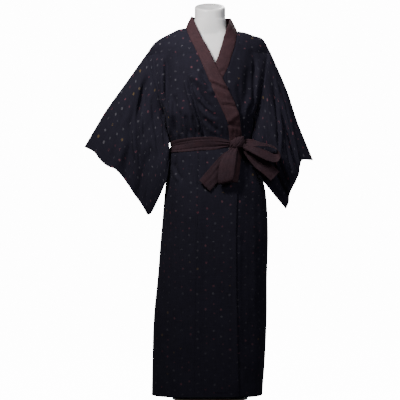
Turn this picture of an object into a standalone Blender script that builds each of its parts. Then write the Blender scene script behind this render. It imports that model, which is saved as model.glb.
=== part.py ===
"""A kimono with its tie belt, worn on a limbless dress form on a round foot.

Metres, +Z up. The front faces -Y, and "right" and "left" are the wearer's, so the right front, which is
wrapped on top, lies on the -X side. The origin is the middle of the foot's underside.

The body cloth is a height field: front_depth(x, z) and back_depth(x, z) say how far the cloth stands before
and behind the plane y = 0. Every panel is a patch of it, cut along the seam lines in the tables below, so
neighbouring panels share their edges, and a seam is a 0.3 mm slit between them.
"""

import bpy
import numpy as np

# Cloth
WALL = 0.0015
BAND_WALL = 0.003
SEAM_GAP = 0.0003
TURNED_GAP = 0.0009
WRAP_LIFT = 0.0055
BELT_LIFT = 0.0050
BELT_WALL = 0.002

# Heights of the garment's main lines
HEM_Z = 0.018
COLLAR_END_Z = 0.800
BELT_Z = 0.935
SLIT_END_Z = 0.965
ARMPIT_Z = 1.043

# Grid of the body: levels below the armpit, rows from there to the shoulder, columns across a panel
LEVELS = (HEM_Z, 0.085, 0.16, 0.235, 0.31, 0.385, 0.46, 0.535, 0.605, 0.67, 0.735, COLLAR_END_Z - 0.005,
          COLLAR_END_Z, 0.845, 0.882, 0.909, BELT_Z, 0.961, 0.987, 1.015, ARMPIT_Z)
YOKE_ROWS = 11
NAPE_ROWS = 4
KENSAKI_ROW = 4
BODY_COLUMNS = 8
OKUMI_COLUMNS = 4
TIP_SHARE = 0.92
COLLAR_COLUMNS = 3
SLEEVE_ROWS = 10
SLEEVE_FREE_ROWS = 5

# Sections of the worn cloth: height, its two sides, and its reach to the front and the back
SECTIONS = (
    # z, side_r, side_l, front, back
    (0.018, -0.2157, 0.1935, 0.150, 0.152),
    (0.160, -0.2135, 0.2040, 0.150, 0.152),
    (0.310, -0.2080, 0.2105, 0.149, 0.152),
    (0.460, -0.1930, 0.2116, 0.147, 0.153),
    (0.605, -0.1820, 0.2150, 0.144, 0.155),
    (0.725, -0.1715, 0.2100, 0.138, 0.153),
    (0.790, -0.1655, 0.2010, 0.132, 0.146),
    (0.850, -0.1575, 0.1800, 0.122, 0.132),
    (0.909, -0.1465, 0.1530, 0.109, 0.114),
    (0.935, -0.1420, 0.1460, 0.105, 0.108),
    (0.961, -0.1450, 0.1490, 0.110, 0.111),
    (1.000, -0.1580, 0.1560, 0.124, 0.115),
    (1.043, -0.1650, 0.1640, 0.133, 0.117),
    (1.120, -0.1850, 0.1850, 0.139, 0.118),
    (1.200, -0.2000, 0.2000, 0.134, 0.117),
    (1.300, -0.2150, 0.2150, 0.130, 0.115),
    (1.420, -0.2150, 0.2150, 0.130, 0.115),
)
SECTION_POWER = 2.5
FRONT_DOME = 2.2
BACK_DOME = 2.6
SOFT_RISE = 0.10

# The shoulder line seen from the front, from one sleeve seam to the other
SHOULDER = (
    # x, z
    (-0.2370, 1.2723), (-0.2110, 1.3112), (-0.1930, 1.3271), (-0.1720, 1.3396), (-0.1406, 1.3556),
    (-0.1190, 1.3659), (-0.0888, 1.3722), (-0.0500, 1.3880), (0.0000, 1.3980), (0.0500, 1.3860),
    (0.0992, 1.3611), (0.1288, 1.3556), (0.1643, 1.3430), (0.1961, 1.3308), (0.2100, 1.3093),
    (0.2257, 1.2760),
)
ARM_TOP = {"r": (-0.2370, 1.2723), "l": (0.2257, 1.2760)}
NECK_SIDE = {"r": (-0.0888, 1.3722), "l": (0.0992, 1.3611)}
NAPE_Z = 1.360
UNDERARM_SHARE = 0.985
ARM_COLUMN = 0.044
ARM_COLUMN_INSET = 0.008
ARM_COLUMN_WIDTH = 0.040

# The collar's seam line and free edge, seen from the front, by the height of the seam
COLLAR = {
    "r": (
        # seam_z, seam_x, free_x, free_z
        (0.8000, 0.0520, 0.1010, 0.8000),
        (0.8653, 0.0611, 0.1110, 0.8653),
        (0.9356, 0.0703, 0.1200, 0.9356),
        (0.9911, 0.0666, 0.1130, 0.9985),
        (1.0318, 0.0574, 0.1055, 1.0410),
        (1.0762, 0.0370, 0.0925, 1.0800),
        (1.1502, 0.0037, 0.0574, 1.1540),
        (1.2316, -0.0296, 0.0167, 1.2370),
        (1.2908, -0.0555, -0.0111, 1.2980),
        (1.3241, -0.0722, -0.0333, 1.3370),
        (1.3537, -0.0833, -0.0500, 1.3760),
        (1.3722, -0.0888, -0.0673, 1.4180),
    ),
    "l": (
        (0.8000, -0.0481, -0.0962, 0.8000),
        (0.9356, -0.0481, -0.0962, 0.9356),
        (0.9763, -0.0370, -0.0851, 0.9874),
        (1.0503, -0.0148, -0.0629, 1.0651),
        (1.1169, 0.0148, -0.0333, 1.1317),
        (1.1946, 0.0529, 0.0000, 1.1910),
        (1.2205, 0.0648, 0.0130, 1.2205),
        (1.2612, 0.0777, 0.0278, 1.2575),
        (1.2945, 0.0888, 0.0407, 1.2982),
        (1.3204, 0.0944, 0.0518, 1.3389),
        (1.3463, 0.0984, 0.0666, 1.3815),
        (1.3611, 0.0992, 0.0755, 1.4092),
    ),
}
# Where the collar leaves the chest and stands round the neck: y of its free edge by the seam's height
STAND_START = 1.305
STAND_FREE_Y = {
    "r": ((1.3241, -0.078), (1.3537, -0.052), (1.3722, 0.012)),
    "l": ((1.3204, -0.078), (1.3463, -0.050), (1.3611, 0.012)),
}
NAPE_FREE_Y = 0.0780
NAPE_FREE_Z = 1.4145

# The overlap panels' seam to the front, and their free edge below the collar
OKUMI_SEAM = {"r": ((HEM_Z, -0.0574), (BELT_Z, -0.0407)), "l": ((HEM_Z, 0.0590), (BELT_Z, 0.0590))}
FREE_EDGE = {
    "r": ((HEM_Z, 0.1050), (0.588, 0.0944), (COLLAR_END_Z, 0.1010)),
    "l": ((HEM_Z, -0.0962), (0.588, -0.0962), (COLLAR_END_Z, -0.0962)),
}
# How far the upper layer has to clear the under one: the under layer's free edge by height
UNDER_EDGE = (
    # z, x
    (HEM_Z, -0.0962), (0.9356, -0.0962), (0.9874, -0.0851), (1.0651, -0.0629), (1.1317, -0.0333),
    (1.1910, 0.0000), (1.2205, 0.0130), (1.2600, 0.0300),
)
LIFT_RUN = 0.045
LIFT_MARGIN = 0.012
LIFT_TOP_Z = 1.245
LIFT_TOP_RUN = 0.05

# Creases of the cloth, seen from the front or the back: a soft trough between two points
FRONT_CREASES = (
    # x0, z0, x1, z1, depth, half_width
    (-0.0850, 1.1900, -0.0120, 0.9700, 0.005, 0.022),
    (-0.1330, 1.1200, -0.1260, 0.9700, 0.010, 0.015),
    (-0.1540, 1.3000, -0.1560, 1.0300, 0.012, 0.014),
    (0.1540, 1.2900, 0.1520, 0.9900, 0.014, 0.014),
    (0.1250, 1.1300, 0.1080, 0.9800, 0.006, 0.016),
    (-0.1450, 0.8700, -0.1680, 0.2000, 0.006, 0.022),
    (-0.0950, 0.8900, -0.1120, 0.3000, 0.005, 0.022),
    (-0.0100, 0.8300, -0.0250, 0.0200, 0.006, 0.028),
    (0.0450, 0.7800, 0.0550, 0.0200, 0.004, 0.020),
    (0.1450, 0.8600, 0.1500, 0.0500, 0.006, 0.024),
)
BACK_CREASES = (
    (-0.1500, 1.3000, -0.1500, 1.0200, 0.012, 0.016),
    (0.1500, 1.2900, 0.1500, 1.0200, 0.012, 0.016),
    (-0.0600, 1.1200, -0.0450, 0.9600, 0.008, 0.014),
    (0.0500, 1.1400, 0.0450, 0.9600, 0.008, 0.014),
    (-0.1050, 1.0700, -0.0950, 0.9600, 0.006, 0.013),
    (0.1050, 1.0800, 0.0980, 0.9600, 0.006, 0.013),
    (-0.0950, 0.8900, -0.1250, 0.1500, 0.008, 0.026),
    (-0.0350, 0.8800, -0.0450, 0.0400, 0.006, 0.024),
    (0.0500, 0.8800, 0.0600, 0.1000, 0.007, 0.026),
    (0.1150, 0.8900, 0.1400, 0.0200, 0.008, 0.026),
)

# Sleeves, seen from the front: the top fold and the sewn bottom, from the armhole to the cuff
SLEEVE_TOP = {
    "r": (
        # along, x, y, z
        (0.00, -0.2370, 0.000, 1.2723), (0.25, -0.2965, -0.004, 1.1880), (0.67, -0.3900, -0.012, 1.0557),
        (0.83, -0.4230, -0.016, 1.0000), (1.00, -0.4630, -0.020, 0.9314),
    ),
    "l": (
        (0.00, 0.2257, 0.000, 1.2760), (0.34, 0.2840, -0.004, 1.1406), (0.66, 0.3256, -0.008, 1.0160),
        (0.82, 0.3515, -0.010, 0.9519), (1.00, 0.3804, -0.014, 0.8822),
    ),
}
SLEEVE_FOOT = {
    "r": (
        (0.00, -0.1490, -0.072, 0.8840), (0.25, -0.1540, -0.078, 0.8172), (0.45, -0.1650, -0.075, 0.7728),
        (0.72, -0.1961, -0.065, 0.7247), (1.00, -0.2324, -0.055, 0.6780),
    ),
    "l": (
        (0.00, 0.1530, -0.072, 0.8840), (0.25, 0.1790, -0.078, 0.8240), (0.45, 0.2083, -0.074, 0.7880),
        (0.70, 0.2350, -0.060, 0.7560), (1.00, 0.2794, -0.045, 0.7033),
    ),
}
# How far the sleeve's free inner edge bows towards the body
FREE_EDGE_BOW = 0.007
# The cuff's edge: how far it is drawn in from the straight line between its two corners
CUFF_DRAW = {
    "r": ((0.0, 0.000), (0.12, 0.014), (0.20, 0.011), (0.33, 0.016), (0.40, 0.028), (0.50, 0.030),
          (0.63, 0.025), (0.75, 0.017), (0.90, 0.008), (1.0, 0.000)),
    "l": ((0.0, 0.000), (0.08, 0.033), (0.19, 0.035), (0.31, 0.024), (0.51, 0.020), (0.75, 0.015),
          (0.87, 0.004), (1.0, 0.000)),
}
CUFF_REACH = 3.0
SLEEVE_HALF = {"r": (0.045, 0.034), "l": (0.045, 0.040)}
# Folds of a sleeve: both layers move back along a line from (along, down) to (along, down), or forwards if below 0
SLEEVE_FOLDS = {
    "r": (
        # along0, down0, along1, down1, depth, half_width
        (-0.10, 0.10, 1.10, 0.62, 0.018, 0.070),
        (0.35, 0.62, 1.15, 0.84, 0.012, 0.060),
        (0.20, 0.36, 1.15, 0.40, -0.008, 0.060),
    ),
    "l": (
        (-0.10, 0.16, 1.15, 0.34, 0.016, 0.065),
        (0.10, 0.46, 1.15, 0.62, -0.016, 0.070),
        (0.20, 0.70, 1.15, 0.84, 0.014, 0.060),
    ),
}

# Tie belt
BELT_EDGES = (
    # x_front, bottom_z, top_z from the wearer's right side to the knot
    (-0.1600, 0.9097, 0.9467), (-0.0740, 0.9120, 0.9620), (-0.0300, 0.9160, 0.9660), (0.0200, 0.9180, 0.9650),
    (0.0500, 0.9250, 0.9570), (0.0720, 0.9300, 0.9500), (0.1240, 0.9280, 0.9500), (0.1600, 0.9150, 0.9560),
)
BELT_KNOT_X = (0.0740, 0.1220)
BELT_BACK_Z = (0.9130, 0.9610)
BELT_STEPS = 52
BELT_ROWS = 4
BELT_TUCK = 0.0014
KNOT_CENTRE = (0.1000, -0.1156, 0.9423)
KNOT_HALF = (0.0270, 0.0130, 0.0170)

# Belt ends: a ribbon's middle line with its width and the way the width points
LOOP_HANGING = (
    # x, y, z, width, width_x, width_y, width_z
    (0.0940, -0.1190, 0.9252, 0.024, 1.0, 0.0, 0.01),
    (0.0740, -0.1420, 0.9000, 0.048, 1.0, 0.0, 0.12),
    (0.0640, -0.1570, 0.8700, 0.060, 1.0, 0.0, 0.10),
    (0.0600, -0.1640, 0.8300, 0.064, 1.0, 0.0, 0.06),
    (0.0590, -0.1640, 0.8060, 0.064, 1.0, 0.0, 0.08),
    (0.0600, -0.1570, 0.7960, 0.062, 1.0, 0.0, 0.10),
    (0.0610, -0.1500, 0.8060, 0.060, 1.0, 0.0, 0.10),
    (0.0640, -0.1440, 0.8350, 0.056, 1.0, 0.0, 0.10),
    (0.0720, -0.1310, 0.8750, 0.050, 1.0, 0.0, 0.10),
    (0.0920, -0.1120, 0.9255, 0.022, 1.0, 0.0, 0.02),
)
TAIL_HANGING = (
    (0.0860, -0.1080, 0.9190, 0.020, 0.85, 0.0, -0.52),
    (0.0600, -0.1220, 0.8890, 0.042, 0.80, 0.0, -0.60),
    (0.0330, -0.1320, 0.8530, 0.052, 0.75, 0.0, -0.66),
    (0.0080, -0.1400, 0.8210, 0.056, 0.72, 0.0, -0.69),
    (-0.0210, -0.1450, 0.7870, 0.056, 0.70, 0.0, -0.71),
)
LOOP_SIDE = (
    (0.1280, -0.1120, 0.9440, 0.018, 0.00, -0.30, -0.95),
    (0.1450, -0.1190, 0.9440, 0.036, 0.00, -0.45, -0.89),
    (0.1850, -0.1220, 0.9410, 0.044, 0.05, -0.80, -0.60),
    (0.2250, -0.1180, 0.9360, 0.048, 0.05, -0.90, -0.43),
    (0.2530, -0.1180, 0.9230, 0.048, 0.25, -0.90, -0.35),
    (0.2620, -0.1200, 0.9010, 0.048, 0.30, -0.90, -0.25),
    (0.2480, -0.1250, 0.8830, 0.048, 0.15, -0.90, -0.40),
    (0.2100, -0.1320, 0.8930, 0.044, -0.05, -0.86, -0.50),
    (0.1700, -0.1370, 0.9080, 0.036, -0.10, -0.80, -0.58),
    (0.1275, -0.1225, 0.9290, 0.018, -0.10, -0.60, -0.80),
)
TAIL_SIDE = (
    (0.1185, -0.1110, 0.9275, 0.014, -0.60, 0.0, -0.80),
    (0.1500, -0.1170, 0.8960, 0.034, -0.66, 0.0, -0.75),
    (0.1800, -0.1190, 0.8700, 0.044, -0.68, 0.0, -0.73),
    (0.2110, -0.1190, 0.8460, 0.046, -0.69, 0.0, -0.72),
    (0.2370, -0.1180, 0.8220, 0.046, -0.69, 0.0, -0.72),
)

# Dress form
FORM_SECTIONS = (
    # z, half_width, front, back
    (0.6400, 0.1180, 0.080, 0.092),
    (0.6460, 0.1300, 0.090, 0.102),
    (0.6650, 0.1410, 0.100, 0.112),
    (0.7200, 0.1500, 0.107, 0.120),
    (0.7800, 0.1500, 0.106, 0.120),
    (0.8600, 0.1360, 0.098, 0.105),
    (0.9350, 0.1220, 0.086, 0.086),
    (1.0000, 0.1290, 0.100, 0.090),
    (1.0500, 0.1360, 0.114, 0.096),
    (1.1000, 0.1400, 0.120, 0.098),
    (1.1500, 0.1420, 0.116, 0.098),
    (1.2000, 0.1470, 0.104, 0.095),
    (1.2500, 0.1560, 0.090, 0.088),
    (1.2850, 0.1600, 0.076, 0.078),
    (1.3100, 0.1480, 0.064, 0.070),
    (1.3300, 0.1220, 0.056, 0.064),
    (1.3450, 0.0940, 0.052, 0.060),
    (1.3580, 0.0730, 0.053, 0.059),
    (1.3750, 0.0622, 0.055, 0.058),
    (1.4000, 0.0585, 0.056, 0.057),
)
FORM_POWER = 2.2
FORM_SIDES = 32
NECK_HALF = 0.0565
NECK_TOP_Z = 1.4520
NECK_TILT = 0.33
NECK_EDGE = 0.0060
POLE_RADIUS = 0.0125
SOCKET_RADIUS = 0.030
SOCKET_HEIGHT = 0.018
FOOT_RADIUS = 0.140
FOOT_THICK = 0.008
HUB_RADIUS = 0.024
HUB_HEIGHT = 0.030
TURNED_SIDES = 32

COLOURS = {
    # red, green, blue, roughness, metallic
    "cotton": (0.012, 0.011, 0.019, 0.85, 0.0),
    "trim": (0.050, 0.026, 0.032, 0.80, 0.0),
    "shell": (0.72, 0.70, 0.69, 0.35, 0.0),
    "steel": (0.55, 0.55, 0.56, 0.30, 1.0),
}


def through(at, rows, column):
    """A smooth curve through one column of a table: cubic pieces whose slope at a row is the mean of its sides'."""
    table = np.asarray(rows, float)
    knots, values = table[:, 0], table[:, column]
    at = np.clip(at, knots[0], knots[-1])
    step = np.diff(knots)
    rise = np.diff(values) / step
    slope = np.concatenate([rise[:1], (rise[:-1] + rise[1:]) / 2, rise[-1:]])
    i = np.clip(np.searchsorted(knots, at, side="right") - 1, 0, len(step) - 1)
    t = (at - knots[i]) / step[i]
    h = step[i]
    return (
        values[i] * (1 + 2 * t) * (1 - t) ** 2
        + values[i + 1] * t * t * (3 - 2 * t)
        + slope[i] * h * t * (1 - t) ** 2
        - slope[i + 1] * h * t * t * (1 - t)
    )


def straight(at, rows, column=1):
    """Straight pieces through one column of a table."""
    table = np.asarray(rows, float)
    return np.interp(at, table[:, 0], table[:, column])


def eased(value):
    """0 below 0, 1 above 1, and a smooth step between."""
    value = np.clip(value, 0, 1)
    return value * value * (3 - 2 * value)


def troughs(x, z, creases):
    """The depth of every crease at (x, z): a bell across the line from end to end, fading out at both ends."""
    total = np.zeros(np.broadcast(x, z).shape)
    for x0, z0, x1, z1, depth, half_width in creases:
        length = np.hypot(x1 - x0, z1 - z0)
        along = ((x - x0) * (x1 - x0) + (z - z0) * (z1 - z0)) / length**2
        across = ((x - x0) * (z1 - z0) - (z - z0) * (x1 - x0)) / length
        fade = np.sqrt(np.clip(4 * along * (1 - along), 0, 1))
        total = total + depth * fade * np.exp(-((across / half_width) ** 2))
    return total


def middle_and_half(z):
    """The middle and the half width of the cloth's section at a height."""
    side_r, side_l = through(z, SECTIONS, 1), through(z, SECTIONS, 2)
    return (side_r + side_l) / 2, (side_l - side_r) / 2


def depth(x, z, reach_column, dome, creases):
    """How far the cloth stands off the plane y = 0.

    Below the armpit it is a rounded oblong's half depth. Above, that is drawn in by a dome towards the
    shoulder line, its sides soften, and the cloth over the upper arm adds a rounded column.
    """
    middle, half = middle_and_half(z)
    share = np.clip(np.abs(x - middle) / half, 0, 1)
    soft = eased((z - ARMPIT_Z) / SOFT_RISE)
    bell = np.maximum(1 - share**SECTION_POWER, 0) ** ((1 - soft) / SECTION_POWER + soft)
    shoulder = through(x, SHOULDER, 1)
    fallen = np.clip((shoulder - z) / (shoulder - ARMPIT_Z), 0, 1)
    drawn = (1 - (1 - fallen) ** dome) ** (1 / dome)
    seam_x = np.where(x < middle, -outer_x("r", z), outer_x("l", z)) - ARM_COLUMN_INSET
    top_z = np.where(x < middle, ARM_TOP["r"][1], ARM_TOP["l"][1])
    up_arm = np.clip((z - ARMPIT_Z) / (top_z - ARMPIT_Z), 0, 1)
    column = ARM_COLUMN * np.sin(np.pi * up_arm**0.75) ** 0.5
    column = column * np.exp(-(((np.abs(x) - seam_x) / ARM_COLUMN_WIDTH) ** 2))
    free = np.clip((1 - share) / 0.12, 0, 1) + soft
    slack = eased(np.abs(z - BELT_Z) / 0.045 - 0.5) * np.clip(free, 0, 1)
    crease = troughs(x, z, creases) * slack * drawn
    return through(z, SECTIONS, reach_column) * bell * drawn + column - crease


def front_depth(x, z):
    return depth(x, z, 3, FRONT_DOME, FRONT_CREASES)


def back_depth(x, z):
    return depth(x, z, 4, BACK_DOME, BACK_CREASES)


def wrap_lift(x, z):
    """How far the upper front is lifted off the under one: full beyond the under layer's edge, and none at the side."""
    edge = straight(z, UNDER_EDGE) - LIFT_MARGIN
    lift = eased((x - edge + LIFT_RUN) / LIFT_RUN)
    return WRAP_LIFT * lift * (1 - eased((z - LIFT_TOP_Z) / LIFT_TOP_RUN))


def front_y(side, x, z):
    return -(front_depth(x, z) + (wrap_lift(x, z) if side == "r" else 0))


def outer_x(side, z):
    """The body panel's outer edge: the side seam, the slit under the arm, then the sleeve seam."""
    sign = -1 if side == "r" else 1
    middle, half = middle_and_half(z)
    share = 1 - (1 - UNDERARM_SHARE) * np.clip((z - SLIT_END_Z) / (ARMPIT_Z - SLIT_END_Z), 0, 1)
    side_x = middle + sign * half * share
    top_x, top_z = ARM_TOP[side]
    middle, half = middle_and_half(ARMPIT_Z)
    under_x = middle + sign * half * UNDERARM_SHARE
    risen = np.clip((z - ARMPIT_Z) / (top_z - ARMPIT_Z), 0, 1) ** 0.85
    return np.where(z > ARMPIT_Z, under_x + (top_x - under_x) * risen, side_x)


def yoke_turn(row):
    """The share of the way up from the armpit to the shoulder, closer together near the top."""
    return np.sin(np.pi / 2 * np.asarray(row) / YOKE_ROWS)


def front_inner(side):
    """The front panel's inner edge as (x, z): the overlap's seam up to its tip, then the collar's seam."""
    low = np.array(LEVELS)
    high = ARMPIT_Z + (NECK_SIDE[side][1] - ARMPIT_Z) * yoke_turn(np.arange(1, YOKE_ROWS + 1))
    z = np.concatenate([low, high])
    tip_z = high[KENSAKI_ROW - 1]
    tip_x = through(tip_z, COLLAR[side], 1)
    seam = straight(z, (*OKUMI_SEAM[side], (tip_z, tip_x)))
    return np.where(z < tip_z, seam, through(z, COLLAR[side], 1)), z


def back_inner(side):
    """The back panel's inner edge from the armpit up: the centre back seam, then round the nape to the neck's side."""
    neck_x, neck_z = NECK_SIDE[side]
    rows = np.arange(1, YOKE_ROWS + 1)
    nape_row = YOKE_ROWS - NAPE_ROWS
    turn = np.clip((YOKE_ROWS - rows) / NAPE_ROWS, 0, 1) * np.pi / 2
    z = np.where(
        rows <= nape_row,
        ARMPIT_Z + (NAPE_Z - ARMPIT_Z) * yoke_turn(rows) / yoke_turn(nape_row),
        neck_z + (NAPE_Z - neck_z) * np.sin(turn),
    )
    x = neck_x * np.cos(turn)
    low = np.array(LEVELS)
    return np.concatenate([0 * low, x]), np.concatenate([low, z])


def half_panel(side, face):
    """One half of a body panel, from the hem to the shoulder fold: rows by columns of points."""
    inner_x, inner_z = front_inner(side) if face == "front" else back_inner(side)
    across = np.sin(np.pi / 2 * np.arange(BODY_COLUMNS + 1) / BODY_COLUMNS)
    top_x, top_z = ARM_TOP[side]
    neck_x, neck_z = NECK_SIDE[side]
    turn = yoke_turn(np.arange(1, YOKE_ROWS + 1))
    outer_z = np.concatenate([LEVELS, ARMPIT_Z + (top_z - ARMPIT_Z) * turn])
    turn = np.concatenate([0 * np.array(LEVELS), turn])
    shoulder = through(neck_x + (top_x - neck_x) * across, SHOULDER, 1)
    arch = shoulder - (neck_z + (top_z - neck_z) * across)
    x = inner_x[:, None] * (1 - across) + outer_x(side, outer_z)[:, None] * across
    z = inner_z[:, None] * (1 - across) + outer_z[:, None] * across + turn[:, None] * arch
    y = front_y(side, x, z) if face == "front" else back_depth(x, z)
    return np.stack([x, y, z], axis=-1)


def body_panel(side):
    """A body panel in one length, as it is cut: up the front, over the shoulder and down the back."""
    front, back = half_panel(side, "front"), half_panel(side, "back")
    front[-1, :, 1] = back[-1, :, 1] = 0
    return np.concatenate([front, back[-2::-1]])


def okumi_panel(side):
    """The overlap panel: from the front's seam to the free edge or the collar's seam, ending in a tip."""
    seam_x, z = front_inner(side)
    count = len(LEVELS) + KENSAKI_ROW
    seam_x, z = seam_x[:count], z[:count]
    edge_x = np.where(z < COLLAR_END_Z, through(z, FREE_EDGE[side], 1), through(z, COLLAR[side], 1))
    edge_x[-1] = seam_x[-1]
    across = np.arange(OKUMI_COLUMNS + 1) / OKUMI_COLUMNS
    x = seam_x[:, None] * (1 - across) + edge_x[:, None] * across
    z = np.repeat(z[:, None], OKUMI_COLUMNS + 1, axis=1)
    grid = np.stack([x, front_y(side, x, z), z], axis=-1)
    grid[-1] = grid[-2] + (grid[-1] - grid[-2]) * TIP_SHARE
    return grid


def collar_half(side):
    """The collar from its end to the nape: the seam line is the panels' own edge, and the band reaches the free edge.

    On the chest the band lies on the height field. From STAND_START up it leans round the neck instead.
    """
    okumi, front = okumi_panel(side), half_panel(side, "front")
    start = LEVELS.index(COLLAR_END_Z)
    tip = len(LEVELS) + KENSAKI_ROW - 1
    seam = np.concatenate([okumi[start:tip, -1], front[tip:, 0]])
    seam[-1, 1] = 0
    free_x = through(seam[:, 2], COLLAR[side], 2)
    free_z = through(seam[:, 2], COLLAR[side], 3)
    lying_y = front_y(side, free_x, free_z)
    stand = eased((seam[:, 2] - STAND_START) / (STAND_FREE_Y[side][0][0] - STAND_START))
    standing_y = through(seam[:, 2], STAND_FREE_Y[side], 1)
    free_y = np.where(stand >= 1, standing_y, lying_y + (standing_y - lying_y) * stand)
    free = np.stack([free_x, free_y, free_z], axis=-1)
    across = (np.arange(COLLAR_COLUMNS + 1) / COLLAR_COLUMNS)[None, :, None]
    grid = seam[:, None] * (1 - across) + free[:, None] * across
    lying = front_y(side, grid[..., 0], grid[..., 2])
    grid[..., 1] = lying + (grid[..., 1] - lying) * stand[:, None]
    back = half_panel(side, "back")
    nape_seam = back[-2 : -2 - NAPE_ROWS : -1, 0]
    turn = np.arange(1, NAPE_ROWS + 1) / NAPE_ROWS * np.pi / 2
    side_x, side_z = free[-1, 0], free[-1, 2]
    start_y = free[-1, 1]
    nape_free = np.stack([side_x * np.cos(turn), start_y + (NAPE_FREE_Y - start_y) * np.sin(turn),
                          side_z + (NAPE_FREE_Z - side_z) * np.sin(turn)], axis=-1)
    nape = nape_seam[:, None] * (1 - across) + nape_free[:, None] * across
    return np.concatenate([grid, nape])


def collar_band():
    right, left = collar_half("r"), collar_half("l")
    return np.concatenate([right, left[-2::-1]])


def armhole(side):
    """The sleeve's inner edge, down the front and down the back: the body's sleeve seam, then free to the foot."""
    front, back = half_panel(side, "front"), half_panel(side, "back")
    foot = np.array(SLEEVE_FOOT[side][0][1:])
    sign = -1 if side == "r" else 1
    edges = []
    for half in (front, back):
        seam = half[len(LEVELS) - 1:, -1][::-1]
        seam[0, 1] = 0
        drop = (np.arange(1, SLEEVE_FREE_ROWS + 1) / SLEEVE_FREE_ROWS)[:, None]
        free = seam[-1] * (1 - drop) + foot * drop
        free[:, 0] = seam[-1, 0] + (foot[0] - seam[-1, 0]) * drop[:, 0] ** 1.8
        if half is front:
            bow = np.sin(np.pi * drop[:, 0] ** 1.5) ** 2
            free[:, 0] -= sign * FREE_EDGE_BOW * bow
            free[:, 1] -= 2 * FREE_EDGE_BOW * bow
        edges.append(np.concatenate([seam, free]))
    return edges


def sleeve_down(side):
    """How far down each row of the armhole lies, from 0 at the top fold to 1 at the foot."""
    z = armhole(side)[0][:, 2]
    return (z[0] - z) / (z[0] - z[-1])


def sleeve_layer(side, layer):
    """One layer of a sleeve, rows along it by columns down it.

    Each row runs straight from the top fold to the foot, bellied out by half the sleeve's thickness. The
    armhole's own shape fades out along the sleeve, and the cuff's drawn-in edge fades in.
    """
    along = (np.arange(SLEEVE_ROWS + 1) / SLEEVE_ROWS)[:, None]
    down = sleeve_down(side)[None, :]
    top = np.stack([through(along, SLEEVE_TOP[side], c) for c in (1, 2, 3)], axis=-1)
    foot = np.stack([through(along, SLEEVE_FOOT[side], c) for c in (1, 2, 3)], axis=-1)
    grid = top * (1 - down[..., None]) + foot * down[..., None]
    cuff = (foot[-1, 0] - top[-1, 0]) / np.linalg.norm(foot[-1, 0] - top[-1, 0])
    inward = top[0, 0] - top[-1, 0]
    inward = inward - cuff * (inward @ cuff)
    inward = inward / np.linalg.norm(inward)
    drawn = through(down, CUFF_DRAW[side], 1) * along**CUFF_REACH
    grid = grid + drawn[..., None] * inward
    first, last = SLEEVE_HALF[side]
    belly = (first + (last - first) * along) * np.sin(np.pi * down**0.9) ** 0.7
    sign = -1 if layer == "front" else 1
    grid[..., 1] += sign * belly + troughs(along, down, SLEEVE_FOLDS[side])
    edge = armhole(side)[0 if layer == "front" else 1]
    return grid + (edge - grid[0])[None] * ((1 - along) ** 2)[..., None]


def sleeve_tube(side):
    """Both layers as one tube, open at the armhole and the cuff."""
    front, back = sleeve_layer(side, "front"), sleeve_layer(side, "back")
    return np.concatenate([front, back[:, -2:0:-1]], axis=1)


def belt_band():
    """The belt round the waist, from one side of the knot round the back to the other.

    A rounded oblong round the cloth, outside the upper front's lift, with a tuck along its middle.
    """
    middle, half = middle_and_half(BELT_Z)
    reach = through(BELT_Z, SECTIONS, 3)
    power = 2 / SECTION_POWER
    turns = [np.arcsin(np.clip((x - middle) / half, -1, 1) ** (1 / power)) for x in BELT_KNOT_X]
    turn = np.linspace(turns[1], turns[0] + 2 * np.pi, BELT_STEPS + 1)[:, None]
    up = (np.arange(BELT_ROWS + 1) / BELT_ROWS)[None, :]
    sine, cosine = np.sin(turn), np.cos(turn)
    x_front = middle + half * np.sign(sine) * np.abs(sine) ** power
    to_front = eased(cosine * 3 + 0.5)
    bottom = BELT_BACK_Z[0] + (through(x_front, BELT_EDGES, 1) - BELT_BACK_Z[0]) * to_front
    top = BELT_BACK_Z[1] + (through(x_front, BELT_EDGES, 2) - BELT_BACK_Z[1]) * to_front
    z = bottom * (1 - up) + top * up
    middle, half = middle_and_half(z)
    x_cloth = middle + half * np.sign(sine) * np.abs(sine) ** power
    lift = BELT_LIFT + wrap_lift(x_cloth, z) * (cosine > 0) - BELT_TUCK * np.exp(-(((up - 0.5) / 0.16) ** 2))
    reach = np.where(cosine > 0, through(z, SECTIONS, 3), through(z, SECTIONS, 4)) + reach * 0
    x = middle + (half + lift) * np.sign(sine) * np.abs(sine) ** power
    y = -(reach + lift) * np.sign(cosine) * np.abs(cosine) ** power
    return np.stack([x, y, z], axis=-1)


def ribbon(rows, steps, columns=2):
    """A strip of the belt: its middle line read from the table, widened both ways along the width's direction."""
    table = np.column_stack([np.linspace(0, 1, len(rows)), np.array(rows)])
    at = np.linspace(0, 1, steps + 1)
    line = np.stack([through(at, table, c) for c in (1, 2, 3)], axis=-1)
    width = through(at, table, 4)
    way = np.stack([through(at, table, c) for c in (5, 6, 7)], axis=-1)
    way = way / np.linalg.norm(way, axis=1)[:, None]
    across = np.linspace(-0.5, 0.5, columns + 1)
    return line[:, None] + way[:, None] * (width[:, None] * across)[..., None]


def normals(grid, closed):
    """The unit normal at every point of a grid, from the differences along its rows and columns."""
    along = np.gradient(grid, axis=0)
    if closed:
        across = np.roll(grid, -1, axis=1) - np.roll(grid, 1, axis=1)
    else:
        across = np.gradient(grid, axis=1)
    normal = np.cross(along, across)
    return normal / np.linalg.norm(normal, axis=-1, keepdims=True)


def facing(grid, normal, towards):
    """The normals, turned so that on the whole they face away from the given point or line."""
    return normal if ((grid - towards) * normal).sum() > 0 else -normal


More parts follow.
